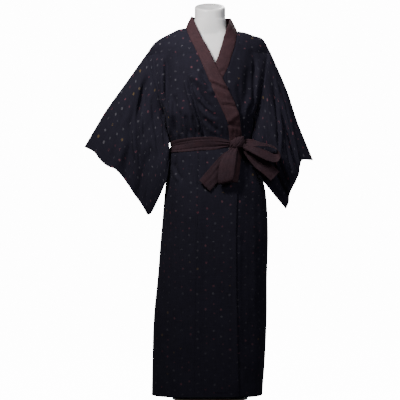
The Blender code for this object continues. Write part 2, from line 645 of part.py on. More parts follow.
def share_seams(pieces):
    """Gives points that two panels share the mean of their normals, so that the panels' walls meet squarely."""
    total = {}
    for piece in pieces:
        keys = np.round(piece["grid"].reshape(-1, 3) * 1e5).astype(int)
        for key, normal in zip(map(tuple, keys), piece["normal"].reshape(-1, 3)):
            total[key] = total.get(key, 0) + normal
    for piece in pieces:
        keys = np.round(piece["grid"].reshape(-1, 3) * 1e5).astype(int)
        summed = np.array([total[tuple(key)] for key in keys]).reshape(piece["grid"].shape)
        length = np.linalg.norm(summed, axis=-1, keepdims=True)
        piece["normal"] = np.where(length > 0.5, summed / np.maximum(length, 1e-9), piece["normal"])


def seam_step(line, near, normal, gap):
    """Half a seam gap at every point of a border line: across the line, along the shared surface, towards near."""
    across = np.cross(np.gradient(line, axis=0), normal)
    across = across / np.linalg.norm(across, axis=-1, keepdims=True)
    side = np.sign(((near - line) * across).sum(axis=-1, keepdims=True))
    return across * side * gap / 2


def drawn_back(grid, normal, closed, gap):
    """The grid with its borders moved half a seam gap towards the inside of the panel."""
    result = grid.copy()
    for edge, near in ((0, 1), (-1, -2)):
        result[edge] += seam_step(grid[edge], grid[near], normal[edge], gap)
        if not closed:
            result[:, edge] += seam_step(grid[:, edge], grid[:, near], normal[:, edge], gap)
    return result


def wall_mesh(outer, inner, closed):
    """Points and faces of a closed wall between two grids."""
    rows, columns = outer.shape[:2]
    points = np.concatenate([outer.reshape(-1, 3), inner.reshape(-1, 3)])
    index = np.arange(rows * columns).reshape(rows, columns)
    if closed:
        index = np.concatenate([index, index[:, :1]], axis=1)
    low, right, high, left = index[:-1, :-1], index[:-1, 1:], index[1:, 1:], index[1:, :-1]
    outside = np.stack([low, right, high, left], axis=-1).reshape(-1, 4)
    inside = outside[:, [0, 3, 2, 1]] + rows * columns
    borders = [index[0], index[-1][::-1]]
    if not closed:
        borders += [index[:, -1], index[:, 0][::-1]]
    rims = []
    for line in borders:
        start, end = line[:-1], line[1:]
        rims.append(np.stack([end, start, start + rows * columns, end + rows * columns], axis=-1))
    return points, np.concatenate([outside, inside, *rims])


def volume(points, faces):
    """The signed volume that the faces enclose."""
    a, b, c, d = (points[faces[:, i]] for i in range(4))
    return (np.einsum("ij,ij->i", a, np.cross(b, c)) + np.einsum("ij,ij->i", a, np.cross(c, d))).sum() / 6


def material(name):
    found = bpy.data.materials.get(name)
    if found:
        return found
    red, green, blue, roughness, metallic = COLOURS[name]
    made = bpy.data.materials.new(name)
    made.use_nodes = True
    shader = made.node_tree.nodes["Principled BSDF"]
    shader.inputs["Base Color"].default_value = (red, green, blue, 1)
    shader.inputs["Roughness"].default_value = roughness
    shader.inputs["Metallic"].default_value = metallic
    return made


def add_object(name, points, faces, colour):
    mesh = bpy.data.meshes.new(name)
    mesh.from_pydata([tuple(p) for p in points], [], [tuple(f) for f in faces])
    mesh.materials.append(material(colour))
    mesh.shade_smooth()
    mesh.set_sharp_from_angle(angle=0.7)
    made = bpy.data.objects.new(name, mesh)
    bpy.context.scene.collection.objects.link(made)
    return made


def add_wall(name, outer, inner, closed, colour):
    points, faces = wall_mesh(outer, inner, closed)
    if volume(points, faces) < 0:
        faces = faces[:, ::-1]
    return add_object(name, points, faces, colour)


def add_panels():
    """The garment's sewn panels, each a wall inwards from its outer points."""
    axis = np.array([0.0, 0.0, 1.0])
    pieces = []
    for name, grid, closed, wall, gap, colour in (
        ("body_right", body_panel("r"), False, WALL, SEAM_GAP, "cotton"),
        ("body_left", body_panel("l"), False, WALL, SEAM_GAP, "cotton"),
        ("okumi_right", okumi_panel("r"), False, WALL, SEAM_GAP, "cotton"),
        ("okumi_left", okumi_panel("l"), False, WALL, SEAM_GAP, "cotton"),
        ("sleeve_right", sleeve_tube("r"), True, WALL, TURNED_GAP, "cotton"),
        ("sleeve_left", sleeve_tube("l"), True, WALL, TURNED_GAP, "cotton"),
        ("collar", collar_band(), False, BAND_WALL, TURNED_GAP, "trim"),
    ):
        inside = grid.mean(axis=1, keepdims=True) if closed else grid * axis
        normal = facing(grid, normals(grid, closed), inside)
        pieces.append({"name": name, "grid": grid, "normal": normal, "closed": closed, "wall": wall,
                       "gap": gap, "colour": colour})
    share_seams(pieces)
    for piece in pieces:
        outer = drawn_back(piece["grid"], piece["normal"], piece["closed"], piece["gap"])
        inner = outer - piece["normal"] * piece["wall"]
        add_wall(piece["name"], outer, inner, piece["closed"], piece["colour"])


def add_belt():
    """The belt round the waist, its knot, its two loops and its two ends."""
    band = belt_band()
    normal = facing(band, normals(band, False), band * np.array([0.0, 0.0, 1.0]))
    add_wall("belt_band", band, band - normal * BELT_WALL, False, "trim")
    for name, rows, steps in (
        ("belt_loop_hanging", LOOP_HANGING, 26),
        ("belt_end_hanging", TAIL_HANGING, 10),
        ("belt_loop_side", LOOP_SIDE, 26),
        ("belt_end_side", TAIL_SIDE, 10),
    ):
        strip = ribbon(rows, steps)
        normal = normals(strip, False) * BELT_WALL / 2
        add_wall(name, strip + normal, strip - normal, False, "trim")
    turn = np.linspace(0, 2 * np.pi, 17)[:-1]
    rise = np.linspace(-np.pi / 2, np.pi / 2, 9)[1:-1]
    ring = np.stack(np.broadcast_arrays(np.cos(rise)[:, None] * np.cos(turn), np.cos(rise)[:, None] * np.sin(turn),
                                        np.sin(rise)[:, None]), axis=-1)
    add_lofted("belt_knot", np.array(KNOT_CENTRE) + ring * np.array(KNOT_HALF), "trim")


def add_lofted(name, rings, colour):
    """A closed solid through rings from its bottom to its top, with a flat face at each end."""
    rows, columns = rings.shape[:2]
    index = np.arange(rows * columns).reshape(rows, columns)
    turned = np.roll(index, -1, axis=1)
    sides = np.stack([index[:-1], turned[:-1], turned[1:], index[1:]], axis=-1).reshape(-1, 4)
    faces = [tuple(face) for face in sides] + [tuple(index[0][::-1]), tuple(index[-1])]
    return add_object(name, rings.reshape(-1, 3), faces, colour)


def add_form():
    """The dress form's shell: rounded oblongs up to the neck, whose top leans forwards with a rounded edge."""
    turn = np.arange(FORM_SIDES) * 2 * np.pi / FORM_SIDES
    power = 2 / FORM_POWER
    rings = []
    for z, half, front, back in FORM_SECTIONS:
        reach = np.where(np.sin(turn) < 0, front, back)
        rings.append(np.stack([
            half * np.sign(np.cos(turn)) * np.abs(np.cos(turn)) ** power,
            reach * np.sign(np.sin(turn)) * np.abs(np.sin(turn)) ** power,
            np.full(FORM_SIDES, z),
        ], axis=-1))
    for inset, rise in ((0.0, -NECK_EDGE), (0.3, -0.3 * NECK_EDGE), (1.0, 0.0)):
        radius = NECK_HALF - inset * NECK_EDGE
        x, y = radius * np.cos(turn), radius * np.sin(turn)
        rings.append(np.stack([x, y, NECK_TOP_Z + NECK_TILT * y + rise], axis=-1))
    add_lofted("form_shell", np.array(rings), "shell")


def add_turned(name, profile, colour):
    """A turned solid about the vertical axis from (radius, height) rows, bottom to top."""
    turn = np.arange(TURNED_SIDES) * 2 * np.pi / TURNED_SIDES
    rings = [np.stack([r * np.cos(turn), r * np.sin(turn), np.full(TURNED_SIDES, z)], axis=-1) for r, z in profile]
    return add_lofted(name, np.array(rings), colour)


def add_stand():
    """The pole with its socket plate under the form, and the round foot."""
    form_z = FORM_SECTIONS[0][0]
    hub_z = FOOT_THICK + HUB_HEIGHT
    add_turned("form_foot", (
        (FOOT_RADIUS - 0.001, 0.0), (FOOT_RADIUS, 0.001), (FOOT_RADIUS, FOOT_THICK - 0.002),
        (FOOT_RADIUS - 0.002, FOOT_THICK), (HUB_RADIUS + 0.004, FOOT_THICK + 0.002),
        (HUB_RADIUS, FOOT_THICK + 0.006), (HUB_RADIUS, hub_z - 0.002), (HUB_RADIUS - 0.002, hub_z),
    ), "steel")
    add_turned("form_pole", (
        (POLE_RADIUS, hub_z + SEAM_GAP), (POLE_RADIUS, form_z - SOCKET_HEIGHT - SEAM_GAP),
        (SOCKET_RADIUS - 0.006, form_z - SOCKET_HEIGHT - SEAM_GAP),
        (SOCKET_RADIUS, form_z - SOCKET_HEIGHT + 0.006), (SOCKET_RADIUS, form_z - SEAM_GAP),
    ), "steel")


def main():
    for old in list(bpy.data.objects):
        bpy.data.objects.remove(old)
    add_form()
    add_stand()
    add_panels()
    add_belt()


main()
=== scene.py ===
"""A dark kimono with a maroon collar and tie belt on a glossy white dress form, in a pale studio."""

import bpy
import numpy as np
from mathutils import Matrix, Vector


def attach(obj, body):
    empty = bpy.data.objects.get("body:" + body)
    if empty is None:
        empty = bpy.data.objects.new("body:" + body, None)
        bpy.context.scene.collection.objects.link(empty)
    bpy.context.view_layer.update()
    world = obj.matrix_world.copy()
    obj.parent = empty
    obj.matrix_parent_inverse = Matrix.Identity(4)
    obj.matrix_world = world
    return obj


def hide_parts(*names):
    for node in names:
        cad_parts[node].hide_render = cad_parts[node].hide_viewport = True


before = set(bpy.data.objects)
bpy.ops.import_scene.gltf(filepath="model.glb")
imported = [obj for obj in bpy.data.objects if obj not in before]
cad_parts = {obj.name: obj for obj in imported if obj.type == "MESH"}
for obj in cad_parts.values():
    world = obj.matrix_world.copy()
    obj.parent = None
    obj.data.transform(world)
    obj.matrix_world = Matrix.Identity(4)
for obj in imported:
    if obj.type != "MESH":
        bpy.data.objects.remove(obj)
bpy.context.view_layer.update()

# Camera: level, in front of the form, a little to the wearer's right
CAMERA_PLACE = (-0.037, -7.0, 0.736)
CAMERA_LENS = 170.3

# Heights of the hem, the collar's ends, the belt's middle, the slit under the arm and the armpit
HEM_Z = 0.018
COLLAR_END_Z = 0.8
BELT_Z = 0.935
SLIT_END_Z = 0.965
ARMPIT_Z = 1.043

# Walls of the cloth, the collar band and the belt
CLOTH_THICK = 0.0011
BAND_THICK = 0.0024
BELT_THICK = 0.0016
BAND_RISE = 0.0016
BAND_SEAT = 0.0006

# Points of the panels' grids, and how deep a seam or a crease may sink
PANEL_STEP = 0.0048
PANEL_COLUMNS = 60
OUTWARD = np.array([1.0, 1.0, 0.15])
YOKE_ROWS = 70
SEAM_DIP = 0.0007
SEAM_DIP_WIDTH = 0.0035
PUCKER_RISE = 0.00035
PUCKER_PITCH = 0.013
PUCKER_PLACE, PUCKER_WIDTH = 0.008, 0.006
CREASE_LIMIT = 0.012
EDGE_CURL = 0.0006
CURL_WIDTH = 0.006
UNDER_COLLAR = 0.004  # how far an overlap panel goes on under the collar

# Sections of the worn cloth: height, its two sides, and its reach to the front and the back
SECTIONS = (
    # z, side_r, side_l, front, back
    (0.018, -0.2157, 0.1935, 0.15, 0.152), (0.16, -0.2135, 0.204, 0.15, 0.152),
    (0.31, -0.208, 0.2105, 0.149, 0.152), (0.46, -0.193, 0.2116, 0.147, 0.153),
    (0.605, -0.182, 0.215, 0.144, 0.155), (0.725, -0.1715, 0.21, 0.138, 0.153),
    (0.79, -0.1655, 0.201, 0.132, 0.146), (0.85, -0.16, 0.18, 0.122, 0.132),
    (0.909, -0.156, 0.153, 0.109, 0.114), (0.935, -0.142, 0.146, 0.105, 0.108),
    (0.961, -0.1535, 0.156, 0.11, 0.111), (1.0, -0.163, 0.1625, 0.124, 0.115),
    (1.043, -0.165, 0.164, 0.133, 0.117), (1.12, -0.185, 0.185, 0.139, 0.118),
    (1.2, -0.2, 0.2, 0.134, 0.117), (1.3, -0.215, 0.215, 0.13, 0.115), (1.42, -0.215, 0.215, 0.13, 0.115),
)

# How square the sections are, how full both faces swell under the shoulder, and the rise in which they soften
SECTION_POWER = 2.5
FRONT_DOME = 2.2
BACK_DOME = 2.6
SOFT_RISE = 0.1

# The shoulder line seen from the front
SHOULDER = (
    # x, z
    (-0.237, 1.2723), (-0.211, 1.3112), (-0.193, 1.3271), (-0.172, 1.3396), (-0.1406, 1.3556),
    (-0.119, 1.3659), (-0.0888, 1.3722), (-0.05, 1.388), (0.0, 1.398), (0.05, 1.386),
    (0.0992, 1.3611), (0.1288, 1.3556), (0.1643, 1.343), (0.1961, 1.3308), (0.21, 1.3093),
    (0.2257, 1.276),
)
ARM_TOP = {"r": (-0.237, 1.2723), "l": (0.2257, 1.276)}
NECK_SIDE = {"r": (-0.0888, 1.3722), "l": (0.0992, 1.3611)}
NAPE_Z = 1.36
NAPE_FREE_Y = 0.078
NAPE_FREE_Z = 1.4145
NAPE_SHARE = 0.75

# The column that the upper arm would fill, and the fullness under it
UNDERARM_SHARE = 0.985
ARM_COLUMN = 0.044
ARM_COLUMN_INSET = 0.008
ARM_COLUMN_WIDTH = 0.04
UNDERARM_FULLNESS = 0.022
FULLNESS_RISE, FULLNESS_SPREAD = 0.02, 0.05  # its middle over the armpit, and how far it spreads up and down
COLUMN_START = 0.45  # the share of the armhole in which the column grows, away from the edge
EDGE_SHARE = 0.1  # the outer share of the half width that counts as the edge
UNDERARM_DIP = (0.045, 0.06, 0.06)  # above the armpit, below it, share along the sleeve

# Tips of the overlap panels on the collar's seam
TIP_Z = {"r": 1.222, "l": 1.216}

# The collar's seam line and free edge, seen from the front
COLLAR = {
    "r": (
        # seam_z, seam_x, free_x, free_z
        (0.8, 0.052, 0.101, 0.8), (0.8653, 0.0611, 0.111, 0.8653), (0.9356, 0.0703, 0.12, 0.9356),
        (0.9911, 0.0666, 0.113, 0.9985), (1.0318, 0.0574, 0.1055, 1.041), (1.0762, 0.037, 0.0925, 1.08),
        (1.1502, 0.0037, 0.0574, 1.154), (1.2316, -0.0296, 0.0167, 1.237),
        (1.2908, -0.0555, -0.0111, 1.298), (1.3241, -0.0722, -0.0333, 1.337),
        (1.3537, -0.0833, -0.05, 1.376), (1.3722, -0.0888, -0.0673, 1.418),
    ),
    "l": (
        (0.8, -0.0481, -0.0962, 0.8), (0.9356, -0.0481, -0.0962, 0.9356),
        (0.9763, -0.037, -0.0851, 0.9874), (1.0503, -0.0148, -0.0629, 1.0651),
        (1.1169, 0.0148, -0.0333, 1.1317), (1.1946, 0.0529, 0.0, 1.191), (1.2205, 0.0648, 0.013, 1.2205),
        (1.2612, 0.0777, 0.0278, 1.2575), (1.2945, 0.0888, 0.0407, 1.2982),
        (1.3204, 0.0944, 0.0518, 1.3389), (1.3463, 0.0984, 0.0666, 1.3815),
        (1.3611, 0.0992, 0.0755, 1.4092),
    ),
}

# Where the collar begins to stand off the neck, and y of its free edge from there to the neck's side
STAND_START = 1.305
STAND_FREE_Y = {
    "r": ((1.3241, -0.078), (1.3537, -0.052), (1.3722, 0.012)),
    "l": ((1.3204, -0.078), (1.3463, -0.05), (1.3611, 0.012)),
}

# The overlap panels' seams and free edges, and the edge of the under front
OKUMI_SEAM = {"r": ((HEM_Z, -0.0574), (BELT_Z, -0.0407)), "l": ((HEM_Z, 0.059), (BELT_Z, 0.059))}
FREE_EDGE = {
    "r": ((HEM_Z, 0.105), (0.588, 0.0944), (COLLAR_END_Z, 0.101)),
    "l": ((HEM_Z, -0.0962), (0.588, -0.0962), (COLLAR_END_Z, -0.0962)),
}
UNDER_EDGE = (
    # z, x
    (HEM_Z, -0.0962), (0.9356, -0.0962), (0.9874, -0.0851), (1.0651, -0.0629), (1.1317, -0.0333),
    (1.191, 0.0), (1.2205, 0.013), (1.26, 0.03),
)

# How far the upper front lies off the under one, and the runs in which it rises and falls
WRAP_LIFT = 0.0055
LIFT_RUN = 0.045
LIFT_MARGIN = 0.012
LIFT_TOP_Z = 1.245
LIFT_TOP_RUN = 0.05

# Large folds, as the solids have them, and how they fade at the side seams and at the belt
FOLD_FADE_SHARE = 0.12
FOLD_FADE_RISE = 0.045
FRONT_TROUGHS = (
    # x0, z0, x1, z1, depth, half_width
    (-0.085, 1.19, -0.012, 0.97, 0.003, 0.022),
    (-0.133, 1.12, -0.126, 0.97, 0.009, 0.015),
    (-0.154, 1.3, -0.156, 1.03, 0.012, 0.014),
    (0.154, 1.29, 0.152, 0.99, 0.014, 0.014),
    (0.125, 1.13, 0.108, 0.98, 0.006, 0.016),
    (-0.145, 0.87, -0.168, 0.2, 0.006, 0.022),
    (-0.095, 0.89, -0.112, 0.3, 0.005, 0.022),
    (-0.01, 0.83, -0.025, 0.02, 0.006, 0.028),
    (0.045, 0.78, 0.055, 0.02, 0.004, 0.02),
    (0.145, 0.86, 0.15, 0.05, 0.006, 0.024),
)
BACK_TROUGHS = (
    # x0, z0, x1, z1, depth, half_width
    (-0.15, 1.3, -0.15, 1.02, 0.012, 0.016),
    (0.15, 1.29, 0.15, 1.02, 0.012, 0.016),
    (-0.06, 1.12, -0.045, 0.96, 0.008, 0.014),
    (0.05, 1.14, 0.045, 0.96, 0.008, 0.014),
    (-0.105, 1.07, -0.095, 0.96, 0.006, 0.013),
    (0.105, 1.08, 0.098, 0.96, 0.006, 0.013),
    (-0.095, 0.89, -0.125, 0.15, 0.008, 0.026),
    (-0.035, 0.88, -0.045, 0.04, 0.006, 0.024),
    (0.05, 0.88, 0.06, 0.1, 0.007, 0.026),
    (0.115, 0.89, 0.14, 0.02, 0.008, 0.026),
)

# Fine creases: a trough (or a ridge, below 0) along a bowed line, with a soft lip on one side
FRONT_CREASES = (
    # x0, z0, x1, z1, bow, depth, half_width, lip
    (-0.083, 1.195, -0.013, 0.962, 0.006, 0.015, 0.006, 0.9),
    (-0.08, 1.196, 0.02, 1.116, -0.004, -0.011, 0.011, 0.0),
    (-0.036, 1.215, 0.008, 1.125, 0.004, 0.011, 0.011, 0.3),
    (-0.13, 1.125, -0.126, 0.962, 0.003, 0.0095, 0.0085, 0.6),
    (-0.114, 1.07, -0.095, 0.96, 0.003, 0.01, 0.0075, 0.5),
    (-0.092, 1.05, -0.07, 0.96, 0.003, 0.009, 0.007, 0.5),
    (-0.064, 1.05, -0.042, 0.96, 0.003, 0.0075, 0.0065, 0.4),
    (-0.16, 1.274, -0.159, 1.05, 0.002, 0.0085, 0.0075, 0.9),
    (-0.118, 1.29, -0.095, 1.16, 0.006, 0.0018, 0.014, 0.0),
    (-0.06, 1.16, 0.014, 1.06, 0.006, 0.0085, 0.0065, 0.6),
    (-0.048, 1.1, 0.029, 1.03, 0.005, 0.008, 0.008, 0.5),
    (-0.03, 1.04, 0.038, 0.98, 0.004, 0.007, 0.007, 0.4),
    (0.15, 1.09, 0.14, 0.965, 0.003, 0.009, 0.008, 0.5),
    (0.163, 1.27, 0.16, 1.06, -0.002, 0.0075, 0.008, 0.8),
    (0.135, 1.23, 0.118, 1.02, -0.006, 0.006, 0.012, 0.3),
    (0.105, 1.18, 0.125, 1.01, 0.006, 0.0045, 0.01, 0.3),
    (0.116, 1.05, 0.12, 0.96, 0.002, 0.007, 0.007, 0.4),
    (0.133, 1.08, 0.13, 0.96, 0.002, 0.0075, 0.007, 0.4),
    (-0.134, 0.876, -0.1, 0.804, 0.004, 0.006, 0.0065, 0.7),
    (-0.12, 0.908, -0.134, 0.82, 0.002, 0.0035, 0.007, 0.4),
    (-0.096, 0.908, -0.104, 0.79, 0.002, 0.003, 0.0075, 0.4),
    (-0.07, 0.908, -0.074, 0.81, 0.001, 0.0028, 0.0065, 0.4),
    (-0.044, 0.908, -0.042, 0.77, -0.002, 0.0025, 0.008, 0.3),
    (-0.015, 0.91, -0.008, 0.8, -0.002, 0.0022, 0.008, 0.3),
    (0.13, 0.905, 0.145, 0.8, -0.003, 0.0035, 0.008, 0.4),
    (0.112, 0.905, 0.122, 0.76, -0.003, 0.0028, 0.009, 0.3),
    (-0.158, 0.78, -0.182, 0.3, 0.006, 0.004, 0.014, 0.3),
    (-0.125, 0.74, -0.142, 0.15, -0.006, 0.0035, 0.016, 0.2),
    (-0.08, 0.7, -0.085, 0.02, 0.006, 0.003, 0.015, 0.3),
    (0.02, 0.73, 0.03, 0.03, 0.004, 0.003, 0.015, 0.2),
    (0.075, 0.65, 0.08, 0.02, -0.003, 0.0022, 0.012, 0.2),
    (0.125, 0.72, 0.128, 0.1, 0.005, 0.0035, 0.013, 0.3),
    (0.17, 0.78, 0.18, 0.25, -0.006, 0.004, 0.014, 0.2),
    (-0.165, 0.26, -0.13, 0.12, 0.006, 0.0015, 0.012, 0.2),
    (-0.03, 0.34, 0.05, 0.25, 0.008, 0.0012, 0.012, 0.0),
)
BACK_CREASES = (
    # x0, z0, x1, z1, bow, depth, half_width, lip
    (-0.058, 1.13, -0.046, 0.964, 0.004, 0.0045, 0.008, 0.5),
    (0.048, 1.15, 0.044, 0.964, -0.004, 0.0045, 0.008, 0.5),
    (-0.103, 1.09, -0.095, 0.964, 0.003, 0.004, 0.0075, 0.5),
    (0.104, 1.09, 0.098, 0.964, -0.003, 0.004, 0.0075, 0.5),
    (-0.03, 1.06, -0.022, 0.964, 0.002, 0.0028, 0.0065, 0.4),
    (0.023, 1.05, 0.02, 0.964, -0.002, 0.0028, 0.0065, 0.4),
    (-0.08, 1.05, -0.07, 0.964, 0.002, 0.0025, 0.006, 0.4),
    (0.076, 1.05, 0.07, 0.964, -0.002, 0.0025, 0.006, 0.4),
    (-0.125, 1.07, -0.12, 0.964, 0.002, 0.003, 0.0065, 0.4),
    (0.126, 1.07, 0.12, 0.964, -0.002, 0.003, 0.0065, 0.4),
    (-0.135, 1.27, -0.05, 1.17, 0.014, 0.0028, 0.014, 0.2),
    (0.135, 1.26, 0.055, 1.175, -0.014, 0.0028, 0.014, 0.2),
    (-0.14, 1.19, -0.085, 1.1, 0.01, 0.0025, 0.012, 0.2),
    (0.14, 1.19, 0.085, 1.11, -0.01, 0.0025, 0.012, 0.2),
    (-0.115, 0.906, -0.135, 0.76, 0.002, 0.004, 0.009, 0.4),
    (-0.088, 0.906, -0.1, 0.7, 0.002, 0.0035, 0.01, 0.4),
    (-0.062, 0.906, -0.068, 0.77, 0.002, 0.003, 0.008, 0.4),
    (-0.034, 0.906, -0.04, 0.68, 0.002, 0.003, 0.01, 0.3),
    (-0.01, 0.906, -0.012, 0.79, 0.001, 0.0022, 0.007, 0.3),
    (0.016, 0.906, 0.02, 0.74, -0.002, 0.0028, 0.0085, 0.3),
    (0.048, 0.906, 0.056, 0.66, -0.002, 0.0035, 0.01, 0.4),
    (0.08, 0.906, 0.094, 0.75, -0.002, 0.0032, 0.009, 0.4),
    (0.108, 0.906, 0.132, 0.69, -0.002, 0.004, 0.01, 0.4),
    (-0.15, 0.7, -0.17, 0.1, 0.006, 0.0045, 0.016, 0.2),
    (-0.07, 0.65, -0.08, 0.02, -0.005, 0.0035, 0.016, 0.2),
    (0.02, 0.66, 0.026, 0.02, 0.005, 0.0032, 0.015, 0.2),
    (0.085, 0.62, 0.095, 0.05, -0.005, 0.0035, 0.016, 0.2),
    (0.16, 0.72, 0.17, 0.15, 0.005, 0.0045, 0.016, 0.2),
)

# Rumples all over the body, and the gathers beside the belt
RUMPLES = (
    # height, share of the way up, size, seed's step
    (0.0011, 0.45, 0.055, 0), (0.0016, 0.35, 0.13, 1),
)
GATHER_RISE = 0.0009
GATHER_PITCH = 0.017
GATHER_MIDDLE, GATHER_SPREAD = 0.045, 0.035  # from the belt's middle
BELT_HALF, HELD_RISE = 0.02, 0.03  # flat under the belt, and the rise in which the fine folds come back
SMOOTH_SHOULDER = 0.06
SEEDS = {"front": 1.3, "back": 4.1}

# Sleeves: the top fold, the sewn foot, and how far the cuff is drawn in at each share down it
SLEEVE_TOP = {
    "r": (
        # along, x, y, z
        (0.0, -0.237, 0.0, 1.2723), (0.25, -0.2965, -0.004, 1.188), (0.67, -0.39, -0.012, 1.0557),
        (0.83, -0.423, -0.016, 1.0), (1.0, -0.463, -0.02, 0.9314),
    ),
    "l": (
        (0.0, 0.2257, 0.0, 1.276), (0.34, 0.284, -0.004, 1.1406), (0.66, 0.3256, -0.008, 1.016),
        (0.82, 0.3515, -0.01, 0.9519), (1.0, 0.3804, -0.014, 0.8822),
    ),
}
SLEEVE_FOOT = {
    "r": (
        (0.0, -0.149, -0.072, 0.884), (0.25, -0.1572, -0.078, 0.819), (0.45, -0.173, -0.075, 0.778),
        (0.7, -0.1985, -0.066, 0.723), (0.88, -0.2185, -0.06, 0.687), (0.95, -0.227, -0.057, 0.6805),
        (1.0, -0.2345, -0.055, 0.6815),
    ),
    "l": (
        (0.0, 0.153, -0.072, 0.884), (0.25, 0.179, -0.078, 0.824), (0.45, 0.2083, -0.074, 0.788),
        (0.7, 0.235, -0.06, 0.756), (1.0, 0.2794, -0.045, 0.7033),
    ),
}
CUFF_DRAW = {
    "r": ((0.0, 0.0), (0.12, 0.014), (0.2, 0.011), (0.33, 0.016), (0.4, 0.028), (0.5, 0.03),
          (0.63, 0.025), (0.75, 0.018), (0.88, 0.014), (0.96, 0.008), (1.0, 0.004)),
    "l": ((0.0, 0.0), (0.08, 0.033), (0.19, 0.035), (0.31, 0.024), (0.51, 0.02), (0.75, 0.015),
          (0.87, 0.004), (1.0, 0.0)),
}
CUFF_REACH = 3.0
FREE_EDGE_BOW = 0.007
SEAM_TUCK = (0.006, 0.002)  # under the body's edge, and in from it
SEWN_BELOW, SEWN_RUN = 0.016, 0.012  # where the seam ends under the armpit, and how gently
SLEEVE_ROWS, SLEEVE_COLUMNS = 64, 84
SLEEVE_CLOTH_START = {"r": 3.0, "l": 5.0}
SLEEVE_HALF = {"r": (0.045, 0.034), "l": (0.045, 0.04)}  # half thickness at the seam and at the cuff
SLEEVE_SEED = {"r": 2.2, "l": 6.3}
BACK_SEED_STEP = 1.9
HELD_AT_SEAM = 0.06
SLEEVE_RUMPLES = (
    # height, metres along, metres down, size
    (0.0012, 0.33, 0.41, 0.07), (0.0018, 0.33, 0.2, 0.16),
)
SLEEVE_FOLDS = {
    "r": (
        # along0, down0, along1, down1, depth, half_width
        (-0.1, 0.1, 1.1, 0.62, 0.018, 0.07),
        (0.35, 0.62, 1.15, 0.84, 0.012, 0.06),
        (0.2, 0.36, 1.15, 0.4, -0.008, 0.06),
    ),
    "l": (
        (-0.1, 0.16, 1.15, 0.34, 0.016, 0.065),
        (0.1, 0.46, 1.15, 0.62, -0.016, 0.07),
        (0.2, 0.7, 1.15, 0.84, 0.014, 0.06),
    ),
}

# Fine creases of each sleeve's front and of both backs; along and down run from 0 to 1, bow in the same
SLEEVE_CREASES = {
    "r": (
        # along0, down0, along1, down1, bow, depth, half_width, lip
        (0.06, 0.14, 0.68, 0.68, 0.05, 0.0125, 0.026, 0.7),
        (0.0, 0.14, 0.45, 0.6, 0.04, 0.005, 0.026, 0.5),
        (0.15, 0.1, 1.05, 0.4, 0.03, 0.0045, 0.03, 0.3),
        (0.05, 0.3, 0.3, 0.78, 0.02, 0.004, 0.026, 0.4),
        (0.3, 0.6, 0.95, 0.9, -0.03, 0.005, 0.03, 0.4),
        (0.5, 0.48, 1.05, 0.7, 0.02, 0.0035, 0.026, 0.3),
        (0.4, 0.22, 0.9, 0.3, 0.02, -0.003, 0.03, 0.0),
        (0.0, 0.42, 0.14, 0.9, 0.01, 0.0035, 0.022, 0.4),
    ),
    "l": (
        (0.04, 0.08, 0.55, 0.62, 0.04, 0.008, 0.032, 0.6),
        (0.1, 0.06, 1.05, 0.3, 0.03, 0.006, 0.03, 0.4),
        (0.0, 0.3, 0.4, 0.8, 0.02, 0.0055, 0.028, 0.5),
        (0.45, 0.3, 1.05, 0.62, 0.03, 0.0055, 0.03, 0.4),
        (0.35, 0.62, 1.0, 0.88, -0.03, 0.005, 0.03, 0.4),
        (0.55, 0.18, 1.05, 0.24, 0.01, -0.004, 0.028, 0.0),
    ),
    "back": (
        (0.02, 0.1, 0.7, 0.62, 0.05, 0.006, 0.03, 0.5),
        (0.1, 0.3, 0.6, 0.8, 0.03, 0.0045, 0.028, 0.4),
        (0.3, 0.15, 1.05, 0.45, 0.03, 0.004, 0.03, 0.3),
        (0.45, 0.6, 1.0, 0.85, -0.02, 0.004, 0.028, 0.3),
    ),
}

# Creases of the collar band: metres along it from its end, and the share across it from the seam
COLLAR_RUN = 0.78
COLLAR_WIDE = 0.06
COLLAR_RUMPLE = 0.0005
COLLAR_SEED = {"r": 2.0, "l": 5.0}
STITCH_RISE, STITCH_RATE = 0.0004, 900
COLLAR_CREASES = {
    "r": (
        # along0, across0, along1, across1, bow, depth, half_width, lip
        (0.365, -0.15, 0.322, 1.15, 0.003, 0.0065, 0.006, 0.9),
        (0.345, -0.15, 0.3, 0.9, 0.003, -0.003, 0.009, 0.0),
        (0.282, 0.05, 0.268, 1.15, 0.002, 0.0042, 0.005, 0.7),
        (0.25, 1.15, 0.216, -0.1, 0.003, -0.0055, 0.008, 0.2),
        (0.216, -0.15, 0.196, 1.15, -0.002, 0.003, 0.006, 0.4),
        (0.184, 0.1, 0.166, 1.1, 0.002, 0.0022, 0.006, 0.3),
        (0.43, 0.25, 0.345, 0.75, 0.004, 0.0018, 0.008, 0.4),
    ),
    "l": (
        (0.42, 0.0, 0.39, 1.0, 0.0, 0.002, 0.008, 0.5),
    ),
}

# Tie belt: its edges across the front, and its sharp lengthwise folds, which sway and swell unevenly
BELT_EDGES = (
    # x_front, bottom_z, top_z
    (-0.16, 0.9097, 0.9467), (-0.074, 0.912, 0.962), (-0.03, 0.916, 0.966), (0.02, 0.918, 0.965),
    (0.05, 0.925, 0.957), (0.072, 0.93, 0.95), (0.124, 0.928, 0.95), (0.16, 0.915, 0.956),
)
BELT_KNOT_X = (0.074, 0.122)
BELT_BACK_Z = (0.913, 0.961)
BELT_LIFT = 0.0054
BELT_TURN = 0.13  # metres of belt for a radian round the waist
BELT_RUMPLE = 0.0007
EDGE_ROLL, BELT_LEAN = 0.0012, 0.006
PULL_DEPTH, PULL_REACH = 0.0012, 0.05
BELT_FOLDS = (
    # middle, sway, sway_rate, sway_start, depth, width, least, swell, swell_rate, swell_start
    (0.52, 0.1, 9, 0.6, 0.0042, 0.05, 0.65, 0.35, 21, 0),
    (0.24, 0.07, 13, 2.0, 0.003, 0.045, 0.5, 0.5, 17, 1),
    (0.78, 0.06, 11, 4.0, 0.0026, 0.045, 0.5, 0.5, 15, 3),
)
